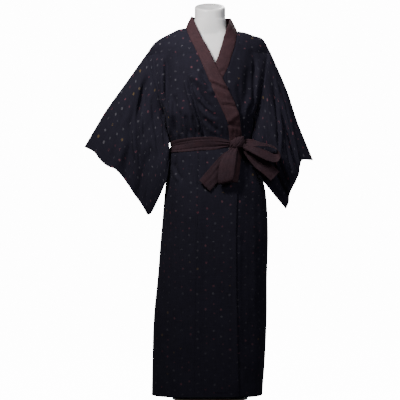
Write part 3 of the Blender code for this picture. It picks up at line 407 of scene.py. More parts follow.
KNOT_CENTRE = (0.098, -0.1165, 0.943)
KNOT_HALF = (0.0255, 0.015, 0.0225)
KNOT_LEAN = 0.42
KNOT_PLEATS = (
    # place across, depth, width
    (-0.72, 0.1, 0.07), (-0.38, 0.16, 0.07), (-0.05, 0.1, 0.05), (0.22, 0.18, 0.07), (0.6, 0.12, 0.07),
)

# The bow's strips, by their middle lines and the way that their width runs
LOOP_HANGING = (
    # x, y, z, width, width_x, width_y, width_z
    (0.09, -0.119, 0.929, 0.024, 1.0, 0.0, 0.01),
    (0.072, -0.142, 0.901, 0.046, 1.0, 0.0, 0.12),
    (0.063, -0.157, 0.87, 0.058, 1.0, 0.0, 0.1),
    (0.058, -0.164, 0.83, 0.058, 1.0, 0.0, 0.1),
    (0.056, -0.164, 0.806, 0.056, 1.0, 0.0, 0.22),
    (0.056, -0.157, 0.798, 0.055, 1.0, 0.0, 0.24),
    (0.058, -0.15, 0.806, 0.054, 1.0, 0.0, 0.2),
    (0.065, -0.144, 0.835, 0.054, 1.0, 0.0, 0.1),
    (0.074, -0.131, 0.875, 0.05, 1.0, 0.0, 0.1),
    (0.092, -0.112, 0.9255, 0.022, 1.0, 0.0, 0.02),
)
TAIL_HANGING = (
    # x, y, z, width, width_x, width_y, width_z
    (0.086, -0.108, 0.919, 0.02, 0.85, 0.0, -0.52),
    (0.06, -0.122, 0.889, 0.042, 0.8, 0.0, -0.6),
    (0.033, -0.132, 0.853, 0.052, 0.75, 0.0, -0.66),
    (0.008, -0.14, 0.821, 0.056, 0.72, 0.0, -0.69),
    (-0.021, -0.145, 0.787, 0.056, 0.7, 0.0, -0.71),
)
LOOP_SIDE = (
    # x, y, z, width, width_x, width_y, width_z
    (0.12, -0.112, 0.945, 0.018, 0.0, -0.3, -0.95),
    (0.145, -0.117, 0.945, 0.034, 0.0, -0.6, -0.8),
    (0.185, -0.12, 0.94, 0.036, 0.05, -0.92, -0.38),
    (0.22, -0.118, 0.933, 0.036, 0.05, -0.96, -0.25),
    (0.242, -0.119, 0.922, 0.038, 0.2, -0.92, -0.33),
    (0.25, -0.123, 0.902, 0.042, 0.2, -0.8, -0.55),
    (0.236, -0.129, 0.888, 0.042, 0.1, -0.65, -0.75),
    (0.202, -0.136, 0.899, 0.044, 0.0, -0.55, -0.83),
    (0.168, -0.138, 0.914, 0.036, -0.1, -0.55, -0.83),
    (0.12, -0.124, 0.933, 0.018, -0.1, -0.5, -0.86),
)
TAIL_SIDE = (
    # x, y, z, width, width_x, width_y, width_z
    (0.1185, -0.111, 0.9275, 0.014, -0.6, 0.0, -0.8),
    (0.15, -0.117, 0.896, 0.034, -0.66, 0.0, -0.75),
    (0.18, -0.119, 0.87, 0.044, -0.68, 0.0, -0.73),
    (0.211, -0.119, 0.846, 0.046, -0.69, 0.0, -0.72),
    (0.237, -0.118, 0.822, 0.046, -0.69, 0.0, -0.72),
)
RIBBON_COLUMNS, RIBBON_PLEATS = 26, 3
RIBBONS = (
    # piece, CAD node, middle line, points along it, crown, flat size
    ("belt_hanging_loop", "belt_loop_hanging", LOOP_HANGING, 150, 0.0022, (0.066, 0.34)),
    ("belt_hanging_end", "belt_end_hanging", TAIL_HANGING, 80, 0.0016, (0.058, 0.22)),
    ("belt_side_loop", "belt_loop_side", LOOP_SIDE, 150, 0.0022, (0.05, 0.36)),
    ("belt_side_end", "belt_end_side", TAIL_SIDE, 80, 0.0016, (0.048, 0.2)),
)

# Dress form
FORM_SECTIONS = (
    # z, half_width, front, back
    (0.64, 0.118, 0.08, 0.092), (0.646, 0.13, 0.09, 0.102), (0.665, 0.141, 0.1, 0.112),
    (0.72, 0.15, 0.107, 0.12), (0.78, 0.15, 0.106, 0.12), (0.86, 0.136, 0.098, 0.105),
    (0.935, 0.122, 0.086, 0.086), (1.0, 0.129, 0.1, 0.09), (1.05, 0.136, 0.114, 0.096),
    (1.1, 0.14, 0.12, 0.098), (1.15, 0.142, 0.116, 0.098), (1.2, 0.147, 0.104, 0.095),
    (1.25, 0.156, 0.09, 0.088), (1.285, 0.16, 0.076, 0.078), (1.31, 0.148, 0.064, 0.07),
    (1.33, 0.122, 0.056, 0.064), (1.345, 0.094, 0.052, 0.06), (1.358, 0.073, 0.053, 0.059),
    (1.375, 0.0622, 0.055, 0.058), (1.4, 0.0585, 0.056, 0.057),
)
FORM_POWER = 2.2
FORM_FOOT_Z, FORM_SHOULDER_Z, NECK_FOOT_Z = 0.64, 1.3, 1.4
NECK_HALF = 0.0565
NECK_TOP_Z = 1.452
NECK_TILT = 0.33
NECK_EDGE = 0.006

# The print's repeat, and the colours of the cloths: dark thread, light thread, and worn or redder dye
FLECK_ACROSS = 0.0296
FLECK_ALONG = 0.0326
FLECK_STRAY = 0.32
NAVY = ((0.0085, 0.0076, 0.0136), (0.0136, 0.0122, 0.0214), (0.0136, 0.0125, 0.0214))
PALE_FLECK = ((0.048, 0.047, 0.06), (0.1, 0.094, 0.108))
RED_FLECK = ((0.11, 0.028, 0.042), (0.155, 0.062, 0.076))
OCHRE_FLECK = (0.115, 0.075, 0.034)
COLLAR_MAROON = ((0.03, 0.014, 0.018), (0.052, 0.026, 0.031), (0.056, 0.023, 0.027))
# painted shade: the belt's maroon is darker than the collar's by about a third, standing in for the shade on
# the belt and its bow
BELT_MAROON_PAINTED_SHADE = ((0.019, 0.0098, 0.0135), (0.037, 0.0205, 0.027), (0.04, 0.0155, 0.0195))
GEL_WHITE = ((0.87, 0.852, 0.842), (0.91, 0.895, 0.888))
ENAMEL_GREY = ((0.7, 0.7, 0.69), (0.8, 0.8, 0.795))
FLOOR_WHITE = ((0.86, 0.86, 0.865), (0.88, 0.88, 0.88))

# Studio
LIGHTS = (
    # name, place, aim, size, power, colour, beam's angle in degrees
    ("key", (-0.8, -1.15, 2.3), (0.0, 0.0, 1.38), 0.36, 17, (1.0, 0.98, 0.97), 110),
    ("fill", (1.2, -2.4, 2.3), (0.0, 0.0, 1.4), 1.0, 24, (0.94, 0.96, 1.0), 180),
    ("rim", (0.6, 2.0, 2.4), (0.0, 0.0, 1.2), 1.0, 30, (1.0, 1.0, 1.0), 180),
)
ROOM_GLOW = 14.0
SKY_COLOUR = (0.92, 0.95, 1.0, 1)
SKY_STRENGTH = 0.1


def through(at, rows, column):
    """A smooth curve through one column of a table.

    Cubic pieces join the rows, and the slope at a row is the mean of the straight slopes on its two sides.
    """
    table = np.asarray(rows, float)
    knots, values = table[:, 0], table[:, column]
    at = np.clip(at, knots[0], knots[-1])
    step = np.diff(knots)
    rise = np.diff(values) / step
    slope = np.concatenate([rise[:1], (rise[:-1] + rise[1:]) / 2, rise[-1:]])
    i = np.clip(np.searchsorted(knots, at, side="right") - 1, 0, len(step) - 1)
    t = (at - knots[i]) / step[i]
    h = step[i]
    return (
        values[i] * (1 + 2 * t) * (1 - t) ** 2
        + values[i + 1] * t * t * (3 - 2 * t)
        + slope[i] * h * t * (1 - t) ** 2
        - slope[i + 1] * h * t * t * (1 - t)
    )


def straight(at, rows, column=1):
    """Straight pieces through one column of a table."""
    table = np.asarray(rows, float)
    return np.interp(at, table[:, 0], table[:, column])


def eased(value):
    """0 below 0, 1 above 1, and the smooth step 3v^2 - 2v^3 between."""
    value = np.clip(value, 0, 1)
    return value * value * (3 - 2 * value)


def troughs(x, z, rows):
    """The depth of each wide fold at (x, z): a bell across its line, fading out at both ends."""
    total = np.zeros(np.broadcast(x, z).shape)
    for x0, z0, x1, z1, depth, half_width in rows:
        length = np.hypot(x1 - x0, z1 - z0)
        along = ((x - x0) * (x1 - x0) + (z - z0) * (z1 - z0)) / length**2
        across = ((x - x0) * (z1 - z0) - (z - z0) * (x1 - x0)) / length
        fade = np.sqrt(np.clip(4 * along * (1 - along), 0, 1))
        total = total + depth * fade * np.exp(-((across / half_width) ** 2))
    return total


def creases(x, z, rows):
    """The depth of each fine crease at (x, z): a peaked trough across a bowed line, with a lip beside it."""
    total = np.zeros(np.broadcast(x, z).shape)
    for x0, z0, x1, z1, bow, depth, half_width, lip in rows:
        length = np.hypot(x1 - x0, z1 - z0)
        along = ((x - x0) * (x1 - x0) + (z - z0) * (z1 - z0)) / length**2
        across = ((x - x0) * (z1 - z0) - (z - z0) * (x1 - x0)) / length
        across = (across - bow * 4 * along * (1 - along)) / half_width
        fade = eased(along / 0.22) * eased((1 - along) / 0.22)
        total = total + depth * fade * (np.exp(-np.abs(across) ** 1.6) - lip * np.exp(-((across - 1.7) ** 2)))
    return total


def rumple(a, b, size, seed):
    """Gentle unevenness from -1 to 1: five sine waves of mixed directions, each bent by the one before."""
    value = np.zeros(np.broadcast(a, b).shape)
    bend = 0.0
    for k in range(5):
        turn = seed * 1.7 + k * 2.399
        way = (a * np.cos(turn) + b * np.sin(turn)) * 2 * np.pi / size
        layer = np.sin(way * (0.7 + 0.33 * k) + seed * 3.1 + k + bend)
        bend = 0.9 * layer
        value = value + layer / (1 + 0.5 * k)
    return value / 2.8


def middle_and_half(z):
    """The middle and the half width of the cloth's section at a height."""
    side_r, side_l = through(z, SECTIONS, 1), through(z, SECTIONS, 2)
    return (side_r + side_l) / 2, (side_l - side_r) / 2


def outer_x(side, z):
    """The body panel's outer edge: the side seam, the slit under the arm, then the sleeve seam."""
    sign = -1 if side == "r" else 1
    middle, half = middle_and_half(z)
    share = 1 - (1 - UNDERARM_SHARE) * np.clip((z - SLIT_END_Z) / (ARMPIT_Z - SLIT_END_Z), 0, 1)
    side_x = middle + sign * half * share
    top_x, top_z = ARM_TOP[side]
    middle, half = middle_and_half(ARMPIT_Z)
    under_x = middle + sign * half * UNDERARM_SHARE
    risen = np.clip((z - ARMPIT_Z) / (top_z - ARMPIT_Z), 0, 1) ** 0.85
    return np.where(z > ARMPIT_Z, under_x + (top_x - under_x) * risen, side_x)


def depth(x, z, reach_column, dome, rows):
    """How far the cloth stands off the plane y = 0.

    A rounded oblong, times a dome that closes at the shoulder line, plus the arm's column and the fullness
    under it, less the wide folds, which fade at the belt and at the side seams.
    """
    middle, half = middle_and_half(z)
    share = np.clip(np.abs(x - middle) / half, 0, 1)
    soft = eased((z - ARMPIT_Z) / SOFT_RISE)
    bell = np.maximum(1 - share**SECTION_POWER, 0) ** ((1 - soft) / SECTION_POWER + soft)
    shoulder = through(x, SHOULDER, 1)
    fallen = np.clip((shoulder - z) / (shoulder - ARMPIT_Z), 0, 1)
    drawn = (1 - (1 - fallen) ** dome) ** (1 / dome)
    seam_x = np.where(x < middle, -outer_x("r", z), outer_x("l", z)) - ARM_COLUMN_INSET
    top_z = np.where(x < middle, ARM_TOP["r"][1], ARM_TOP["l"][1])
    up_arm = np.clip((z - ARMPIT_Z) / (top_z - ARMPIT_Z), 0, 1)
    column = ARM_COLUMN * np.sin(np.pi * up_arm**0.75) ** 0.5
    full = UNDERARM_FULLNESS * np.exp(-(((z - ARMPIT_Z - FULLNESS_RISE) / FULLNESS_SPREAD) ** 2))
    at_edge = eased((share - (1 - EDGE_SHARE)) / EDGE_SHARE)
    column = column * (eased(up_arm / COLUMN_START) * (1 - at_edge) + at_edge) + full * (1 - at_edge)
    column = column * np.exp(-(((np.abs(x) - seam_x) / ARM_COLUMN_WIDTH) ** 2))
    free = np.clip((1 - share) / FOLD_FADE_SHARE, 0, 1) + soft
    slack = eased(np.abs(z - BELT_Z) / FOLD_FADE_RISE - 0.5) * np.clip(free, 0, 1)
    return through(z, SECTIONS, reach_column) * bell * drawn + column - troughs(x, z, rows) * slack * drawn


def wrap_lift(x, z):
    """How far the upper front is lifted off the under one."""
    edge = straight(z, UNDER_EDGE) - LIFT_MARGIN
    return WRAP_LIFT * eased((x - edge + LIFT_RUN) / LIFT_RUN) * (1 - eased((z - LIFT_TOP_Z) / LIFT_TOP_RUN))


def cloth_y(face, side, x, z):
    """y of the cloth's large form, on the front or the back."""
    if face == "back":
        return depth(x, z, 4, BACK_DOME, BACK_TROUGHS)
    return -(depth(x, z, 3, FRONT_DOME, FRONT_TROUGHS) + (wrap_lift(x, z) if side == "r" else 0))


def relief(face, x, z):
    """Fine folds, out of the cloth: rumples and the gathers beside the belt, less the creases.

    Nothing sinks deeper than CREASE_LIMIT, so that the form never shows through.
    """
    rows, seed = FRONT_CREASES if face == "front" else BACK_CREASES, SEEDS[face]
    middle, half = middle_and_half(z)
    inside = np.clip((1 - np.abs(x - middle) / half) / EDGE_SHARE, 0, 1) + eased((z - ARMPIT_Z) / SOFT_RISE)
    off_belt = eased((np.abs(z - BELT_Z) - BELT_HALF) / HELD_RISE)
    near_belt = np.exp(-(((np.abs(z - BELT_Z) - GATHER_MIDDLE) / GATHER_SPREAD) ** 2))
    under_shoulder = eased((through(x, SHOULDER, 1) - z) / SMOOTH_SHOULDER)
    bend = 1.8 * np.sin(x * 41 + seed) + 2.0 * rumple(x, z, 0.2, seed)
    value = GATHER_RISE * np.sin(x * 2 * np.pi / GATHER_PITCH + bend) * near_belt
    for height, rise, size, step in RUMPLES:
        value = value + height * rumple(x, z * rise, size, seed + step)
    fine = off_belt * np.clip(inside, 0.25, 1) * under_shoulder * (value - creases(x, z, rows))
    return np.where(fine < 0, -CREASE_LIMIT * np.tanh(-fine / CREASE_LIMIT), fine)


def unit(v):
    """Each vector divided by its length."""
    return v / np.maximum(np.linalg.norm(v, axis=-1, keepdims=True), 1e-12)


def bulged(wave, power):
    """A sine or cosine with its size raised to a power, which squares a round section's corners."""
    return np.sign(wave) * np.abs(wave) ** power


def normals(grid, outward):
    """The unit normal at each point of a grid, from its differences, turned to agree with the directions."""
    normal = unit(np.cross(np.gradient(grid, axis=0), np.gradient(grid, axis=1)))
    return normal if (normal * outward).sum() > 0 else -normal


def even_rows(low, high, step=PANEL_STEP):
    """Evenly spaced values from low to high, about a step apart."""
    return np.linspace(low, high, max(2, int(round((high - low) / step)) + 1))


def clustered(count, pull=0.62):
    """count + 1 values from 0 to 1 that lie closer together at both ends."""
    t = np.linspace(0, 1, count + 1)
    return pull * (1 - np.cos(np.pi * t)) / 2 + (1 - pull) * t


def ways(grid):
    """The way across each row from its first point, and the mean way along the columns from the first row."""
    steps = np.linalg.norm(np.diff(grid, axis=1), axis=-1)
    across = np.concatenate([np.zeros((len(grid), 1)), steps.cumsum(1)], axis=1)
    along = np.concatenate([[0.0], np.linalg.norm(np.diff(grid, axis=0), axis=-1).mean(1).cumsum()])
    return across, along[:, None]


def cloth_map(grid, start=0.0, turn=False):
    """Cloth coordinates in metres: the way across from the first column, and the mean way along."""
    across, along = ways(grid)
    along = np.repeat(along, grid.shape[1], axis=1)
    across = across + (start[:, None] if hasattr(start, "__len__") else start)
    return np.stack([along, across] if turn else [across, along], axis=-1)


def seam_dip(grid, sides=("left", "right")):
    """How far a panel sinks beside its sewn edges, with small puckers along them."""
    total = np.zeros(grid.shape[:2])
    from_left, along = ways(grid)
    from_right = from_left[:, -1:] - from_left
    pucker = 1 + 0.45 * np.sin(along * 2 * np.pi / PUCKER_PITCH + 2.2 * np.sin(along * 37))
    for name, far in (("left", from_left), ("right", from_right)):
        if name in sides:
            total += SEAM_DIP * np.exp(-((far / SEAM_DIP_WIDTH) ** 2))
            total -= PUCKER_RISE * pucker * np.exp(-(((far - PUCKER_PLACE) / PUCKER_WIDTH) ** 2))
    return total


def add_mesh(name, grid, uv, material, thickness=0.0, closed=False, offset=-1):
    """A smooth mesh from a grid of points, with its cloth coordinates as a UV map.

    Its wall goes inwards, or to both sides with offset 0. A closed grid's last column joins its first.
    """
    rows, columns = grid.shape[:2]
    index = np.arange(rows * columns).reshape(rows, columns)
    ring = np.concatenate([index, index[:, :1]], axis=1) if closed else index
    faces = np.stack([ring[:-1, :-1], ring[:-1, 1:], ring[1:, 1:], ring[1:, :-1]], axis=-1).reshape(-1, 4)
    mesh = bpy.data.meshes.new(name)
    mesh.vertices.add(rows * columns)
    mesh.vertices.foreach_set("co", grid.reshape(-1).astype(np.float32))
    mesh.loops.add(faces.size)
    mesh.loops.foreach_set("vertex_index", faces.reshape(-1).astype(np.int32))
    mesh.polygons.add(len(faces))
    mesh.polygons.foreach_set("loop_start", np.arange(0, faces.size, 4, dtype=np.int32))
    mesh.update(calc_edges=True)
    wide = np.concatenate([uv, uv[:, -1:] + (uv[:, -1:] - uv[:, -2:-1])], axis=1) if closed else uv
    corner = np.stack([wide[:-1, :-1], wide[:-1, 1:], wide[1:, 1:], wide[1:, :-1]], axis=2)
    mesh.uv_layers.new(name="cloth").uv.foreach_set("vector", corner.reshape(-1).astype(np.float32))
    mesh.shade_smooth()
    mesh.materials.append(material)
    made = bpy.data.objects.new(name, mesh)
    bpy.context.scene.collection.objects.link(made)
    if thickness:
        wall = made.modifiers.new("wall", "SOLIDIFY")
        wall.thickness = thickness
        wall.offset = offset
    return made


def facing_out(grid, outward, uv):
    """The grid and its cloth coordinates, with the columns reversed if the faces would point inwards."""
    normal = np.cross(np.gradient(grid, axis=1), np.gradient(grid, axis=0))
    if (normal * outward).sum() < 0:
        return grid[:, ::-1], uv[:, ::-1]
    return grid, uv


# Panels


def yoke_z(side, t):
    """Heights of the inner edge from the armpit to the neck's side, for t from 0 to 1."""
    return ARMPIT_Z + (NECK_SIDE[side][1] - ARMPIT_Z) * np.sin(np.pi / 2 * t)


def front_inner(side, z):
    """x of the front panel's inner edge: the overlap's seam up to its tip, then the collar's seam."""
    tip_z = TIP_Z[side]
    tip_x = through(tip_z, COLLAR[side], 1)
    return np.where(z < tip_z, straight(z, (*OKUMI_SEAM[side], (tip_z, tip_x))), through(z, COLLAR[side], 1))


def half_panel(side, face):
    """One half of a body panel, from the hem to the shoulder fold, rows by columns.

    Above the armpit its rows fan out up to the shoulder line, and the back's turn round the nape.
    """
    low = even_rows(HEM_Z, ARMPIT_Z)
    t = np.linspace(0, 1, YOKE_ROWS)[1:]
    neck_x, neck_z = NECK_SIDE[side]
    top_x, top_z = ARM_TOP[side]
    turn = np.sin(np.pi / 2 * t)
    if face == "front":
        inner_z = np.concatenate([low, yoke_z(side, t)])
        inner_x = front_inner(side, inner_z)
    else:
        share = np.clip(t / NAPE_SHARE, 0, 1)
        swing = np.clip((1 - t) / (1 - NAPE_SHARE), 0, 1) * np.pi / 2
        nape = ARMPIT_Z + (NAPE_Z - ARMPIT_Z) * np.sin(np.pi / 2 * share)
        up = np.where(t <= NAPE_SHARE, nape, neck_z + (NAPE_Z - neck_z) * np.sin(swing))
        inner_z = np.concatenate([low, up])
        inner_x = np.concatenate([0 * low, np.where(t <= NAPE_SHARE, 0, neck_x * np.cos(swing))])
    outer_z = np.concatenate([low, ARMPIT_Z + (top_z - ARMPIT_Z) * turn])
    turn = np.concatenate([0 * low, turn])
    across = clustered(PANEL_COLUMNS, 0.8)
    shoulder = through(neck_x + (top_x - neck_x) * across, SHOULDER, 1)
    arch = shoulder - (neck_z + (top_z - neck_z) * across)
    x = inner_x[:, None] * (1 - across) + outer_x(side, outer_z)[:, None] * across
    z = inner_z[:, None] * (1 - across) + outer_z[:, None] * across + turn[:, None] * arch
    y = cloth_y(face, side, x, z)
    grid = np.stack([x, y, z], axis=-1)
    grid[-1, :, 1] = 0
    return grid


def body_panel(side):
    """A body panel in one length, smooth and with its relief: up the front and down the back."""
    front, back = half_panel(side, "front"), half_panel(side, "back")
    full = np.concatenate([front, back[-2::-1]])
    fine = np.concatenate([
        relief("front", front[..., 0], front[..., 2]),
        relief("back", back[..., 0], back[..., 2])[-2::-1],
    ])
    return full, full + normals(full, full * OUTWARD) * (fine - seam_dip(full))[..., None]


def okumi_panel(side, columns=30):
    """The overlap panel, smooth and with its relief: from its seam to its free edge, ending in a tip."""
    tip_z = TIP_Z[side]
    z = np.concatenate([even_rows(HEM_Z, COLLAR_END_Z), even_rows(COLLAR_END_Z + 0.0008, tip_z)])
    seam_x = front_inner(side, np.minimum(z, tip_z - 1e-6))
    collar_x = through(z, COLLAR[side], 1) + (UNDER_COLLAR if side == "r" else -UNDER_COLLAR)
    edge_x = np.where(z <= COLLAR_END_Z, through(z, FREE_EDGE[side], 1), collar_x)
    across = clustered(columns)
    x = seam_x[:, None] * (1 - across) + edge_x[:, None] * across
    z = np.repeat(z[:, None], columns + 1, axis=1)
    y = cloth_y("front", side, x, z)
    grid = np.stack([x, y, z], axis=-1)
    curl = np.exp(-((np.abs(x - edge_x[:, None]) / CURL_WIDTH) ** 2)) * (z < COLLAR_END_Z)
    fine = relief("front", x, z) - seam_dip(grid, sides=("left",)) - EDGE_CURL * curl
    return grid, grid + normals(grid, grid * OUTWARD) * fine[..., None]


def collar_half(side, columns=20):
    """The collar from its end to the nape, between its seam line and its free edge, and its fine folds.

    It lies on the front up to STAND_START, then stands off the neck, and turns round the nape by a quarter.
    """
    neck_x, neck_z = NECK_SIDE[side]
    lying_z = even_rows(COLLAR_END_Z, STAND_START, 0.006)
    seam_z = np.concatenate([lying_z, even_rows(STAND_START, neck_z, 0.003)[1:]])
    seam_x = through(seam_z, COLLAR[side], 1)
    seam_y = cloth_y("front", side, seam_x, seam_z)
    seam_y[-1] = 0
    seam = np.stack([seam_x, seam_y, seam_z], axis=-1)
    free_x, free_z = through(seam_z, COLLAR[side], 2), through(seam_z, COLLAR[side], 3)
    lying_y = cloth_y("front", side, free_x, free_z)
    stand = eased((seam_z - STAND_START) / (STAND_FREE_Y[side][0][0] - STAND_START))
    standing_y = through(seam_z, STAND_FREE_Y[side], 1)
    free = np.stack([free_x, lying_y + (standing_y - lying_y) * stand, free_z], axis=-1)
    across = np.linspace(0, 1, columns + 1)[None, :, None]
    grid = seam[:, None] * (1 - across) + free[:, None] * across
    lying = cloth_y("front", side, grid[..., 0], grid[..., 2])
    grid[..., 1] = lying + (grid[..., 1] - lying) * stand[:, None]
    fine = relief("front", grid[..., 0], grid[..., 2]) * (1 - stand[:, None])
    turn = np.linspace(0, 1, 25)[1:] * np.pi / 2
    nape_x, nape_z = neck_x * np.cos(turn), neck_z + (NAPE_Z - neck_z) * np.sin(turn)
    nape_seam = np.stack([nape_x, cloth_y("back", side, nape_x, nape_z), nape_z], axis=-1)
    start_y = free[-1, 1]
    nape_free = np.stack([
        free[-1, 0] * np.cos(turn), start_y + (NAPE_FREE_Y - start_y) * np.sin(turn),
        free[-1, 2] + (NAPE_FREE_Z - free[-1, 2]) * np.sin(turn),
    ], axis=-1)
    nape = nape_seam[:, None] * (1 - across) + nape_free[:, None] * across
    return np.concatenate([grid, nape]), np.concatenate([fine, np.zeros(nape.shape[:2])])


def off_neck(grid):
    """Directions away from the neck's middle, nearly level."""
    return (grid - np.array([0.0, 0.02, 0.0])) * np.array([1.0, 1.0, 0.05])


def collar_band():
    """The whole collar: right half, nape, left half, padded and rolled at both edges."""
    halves = []
    for side in "rl":
        grid, fine = collar_half(side)
        rows, columns = grid.shape[:2]
        along = np.linspace(0, 1, rows)[:, None]
        across = np.linspace(0, 1, columns)[None, :]
        normal = normals(grid, off_neck(grid))
        pad = BAND_RISE * (1 - np.abs(2 * across - 1) ** 5) + BAND_SEAT
        stitch = STITCH_RISE * np.sin(along * STITCH_RATE) * np.exp(-((across - 0.03) / 0.03) ** 2)
        wave = COLLAR_RUMPLE * rumple(along * 0.9, across * 0.05, 0.05, COLLAR_SEED[side])
        wide = COLLAR_WIDE
        folds = [(a0, c0 * wide, a1, c1 * wide, *rest) for a0, c0, a1, c1, *rest in COLLAR_CREASES[side]]
        rise = pad + wave + stitch + fine - creases(along * COLLAR_RUN, across * wide, folds)
        halves.append(grid + normal * rise[..., None])
    return np.concatenate([halves[0], halves[1][-2::-1]])


def armhole(side, layer, down):
    """The sleeve's inner edge at each share down from the top: its seam, then a free edge to the foot."""
    top_x, top_z = ARM_TOP[side]
    foot = np.array(SLEEVE_FOOT[side][0][1:])
    z = top_z + (foot[2] - top_z) * down
    seam_z = np.maximum(z, ARMPIT_Z)
    x = outer_x(side, seam_z)
    y = cloth_y(layer, "l", x, seam_z)
    y = np.where(down <= 0, 0, y)
    drop = np.clip((ARMPIT_Z - z) / (ARMPIT_Z - foot[2]), 0, 1)
    seam = np.stack([x, y, seam_z], axis=-1)
    edge = seam * (1 - drop[:, None]) + foot * drop[:, None]
    edge[:, 0] = x + (foot[0] - x) * drop**1.8
    if layer == "front":
        bow = np.sin(np.pi * drop**1.5) ** 2
        edge[:, 0] -= np.sign(foot[0]) * FREE_EDGE_BOW * bow
        edge[:, 1] -= 2 * FREE_EDGE_BOW * bow
    return edge


def sleeve_layer(side, layer):
    """One layer of a sleeve, rows along it by columns down it, with its large folds and its fine creases.

    It runs straight from the top fold to the foot, is drawn in at the cuff, bellies out, and bends to the
    armhole's edge, whose dip under the arm reaches only a little way along.
    """
    along = np.linspace(0, 1, SLEEVE_ROWS + 1)[:, None]
    down = np.linspace(0, 1, SLEEVE_COLUMNS + 1)
    down = ((1 - np.cos(np.pi * down)) / 2 * 0.5 + down * 0.5)[None, :]
    top = np.stack([through(along, SLEEVE_TOP[side], c) for c in (1, 2, 3)], axis=-1)
    foot = np.stack([through(along, SLEEVE_FOOT[side], c) for c in (1, 2, 3)], axis=-1)
    grid = top * (1 - down[..., None]) + foot * down[..., None]
    cuff = unit(foot[-1, 0] - top[-1, 0])
    inward = top[0, 0] - top[-1, 0]
    inward = unit(inward - cuff * (inward @ cuff))
    drawn = through(down, CUFF_DRAW[side], 1) * along**CUFF_REACH
    grid = grid + drawn[..., None] * inward
    first, last = SLEEVE_HALF[side]
    belly = (first + (last - first) * along) * np.sin(np.pi * down**0.9) ** 0.7
    sign = -1 if layer == "front" else 1
    grid[..., 1] += sign * belly + troughs(along, down, SLEEVE_FOLDS[side])
    edge = armhole(side, layer, down[0])
    above, below, reach = UNDERARM_DIP
    clear = (edge[:, 2] > ARMPIT_Z + above) | (edge[:, 2] < ARMPIT_Z - below)
    even = edge.copy()
    even[:, 1] = np.interp(down[0], down[0][clear], edge[clear, 1])
    grid = grid + (even - grid[0])[None] * ((1 - along) ** 2)[..., None]
    grid = grid + (edge - even)[None] * (np.clip(1 - along / reach, 0, 1) ** 1.5)[..., None]
    hold = np.clip(np.sin(np.pi * down), 0, 1) ** 0.5 * eased(along / HELD_AT_SEAM)
    seed = SLEEVE_SEED[side] + (0 if layer == "front" else BACK_SEED_STEP)
    fine = 0
    for height, wide, tall, size in SLEEVE_RUMPLES:
        fine = fine + height * rumple(along * wide, down * tall, size, seed)
    fine = fine - creases(along, down, SLEEVE_CREASES[side if layer == "front" else "back"])
    return grid + normals(grid, np.array([0.0, sign, 0.0])) * (fine * hold)[..., None]


def sleeve_tube(side):
    """Both layers as one tube, open at the armhole and the cuff, its sewn edge tucked under the body's."""
    front, back = sleeve_layer(side, "front"), sleeve_layer(side, "back")
    tube = np.concatenate([front, back[:, -2:0:-1]], axis=1)
    sewn = eased((tube[0, :, 2] - ARMPIT_Z + SEWN_BELOW) / SEWN_RUN)[:, None]
    inwards = unit(tube[0] - tube[3])
    middle = tube[0] * np.array([1.0, 0.0, 1.0])
    sunk = unit(middle - tube[0] + 1e-9)
    tucked = tube[0] + (inwards * SEAM_TUCK[0] + sunk * SEAM_TUCK[1]) * sewn - inwards * 0.0004 * (1 - sewn)
    return np.concatenate([tucked[None], tube])


def belt_band(steps=420, rows=24):
    """The belt round the waist: a rounded oblong outside the cloth, gathered at the knot.

    Each fold is a peaked groove along a swaying line. The belt leans inwards above and below the first fold.
    """
    middle, half = middle_and_half(BELT_Z)
    power = 2 / SECTION_POWER
    turns = [np.arcsin(np.clip((x - middle) / half, -1, 1) ** (1 / power)) for x in BELT_KNOT_X]
    turn = np.linspace(turns[1], turns[0] + 2 * np.pi, steps + 1)[:, None]
    up = np.linspace(0, 1, rows + 1)[None, :]
    sine, cosine = np.sin(turn), np.cos(turn)
    x_front = middle + half * bulged(sine, power)
    to_front = eased(cosine * 3 + 0.5)
    bottom, top = (
        back_z + (through(x_front, BELT_EDGES, k) - back_z) * to_front
        for k, back_z in enumerate(BELT_BACK_Z, 1)
    )
    z = bottom * (1 - up) + top * up
    middle, half = middle_and_half(z)
    way = turn * BELT_TURN
    fold, paths = 0.0, []
    for line, sway, sway_rate, sway_start, deep, wide, least, swell, rate, start in BELT_FOLDS:
        paths.append(line + sway * np.sin(way * sway_rate + sway_start))
        groove = np.exp(-np.abs((up - paths[-1]) / wide) ** 1.3)
        fold = fold + deep * groove * (least + swell * np.sin(way * rate + start))
    pull = np.exp(-(((x_front - BELT_KNOT_X[0]) / PULL_REACH) ** 2)) * (cosine > 0)
    fold = fold + pull * PULL_DEPTH * np.cos(up * 2 * np.pi * 3.2 + 0.5)
    roll = EDGE_ROLL * np.abs(2 * up - 1) ** 6 + BELT_LEAN * np.abs(up - paths[0])
    wave = BELT_RUMPLE * rumple(way, z, 0.05, 3.3)
    lift = BELT_LIFT + wrap_lift(middle + half * bulged(sine, power), z) * (cosine > 0) - fold - roll + wave
    reach = np.where(cosine > 0, through(z, SECTIONS, 3), through(z, SECTIONS, 4))
    x = middle + (half + lift) * bulged(sine, power)
    y = -(reach + lift) * bulged(cosine, power)
    return np.stack([x, y, z], axis=-1)


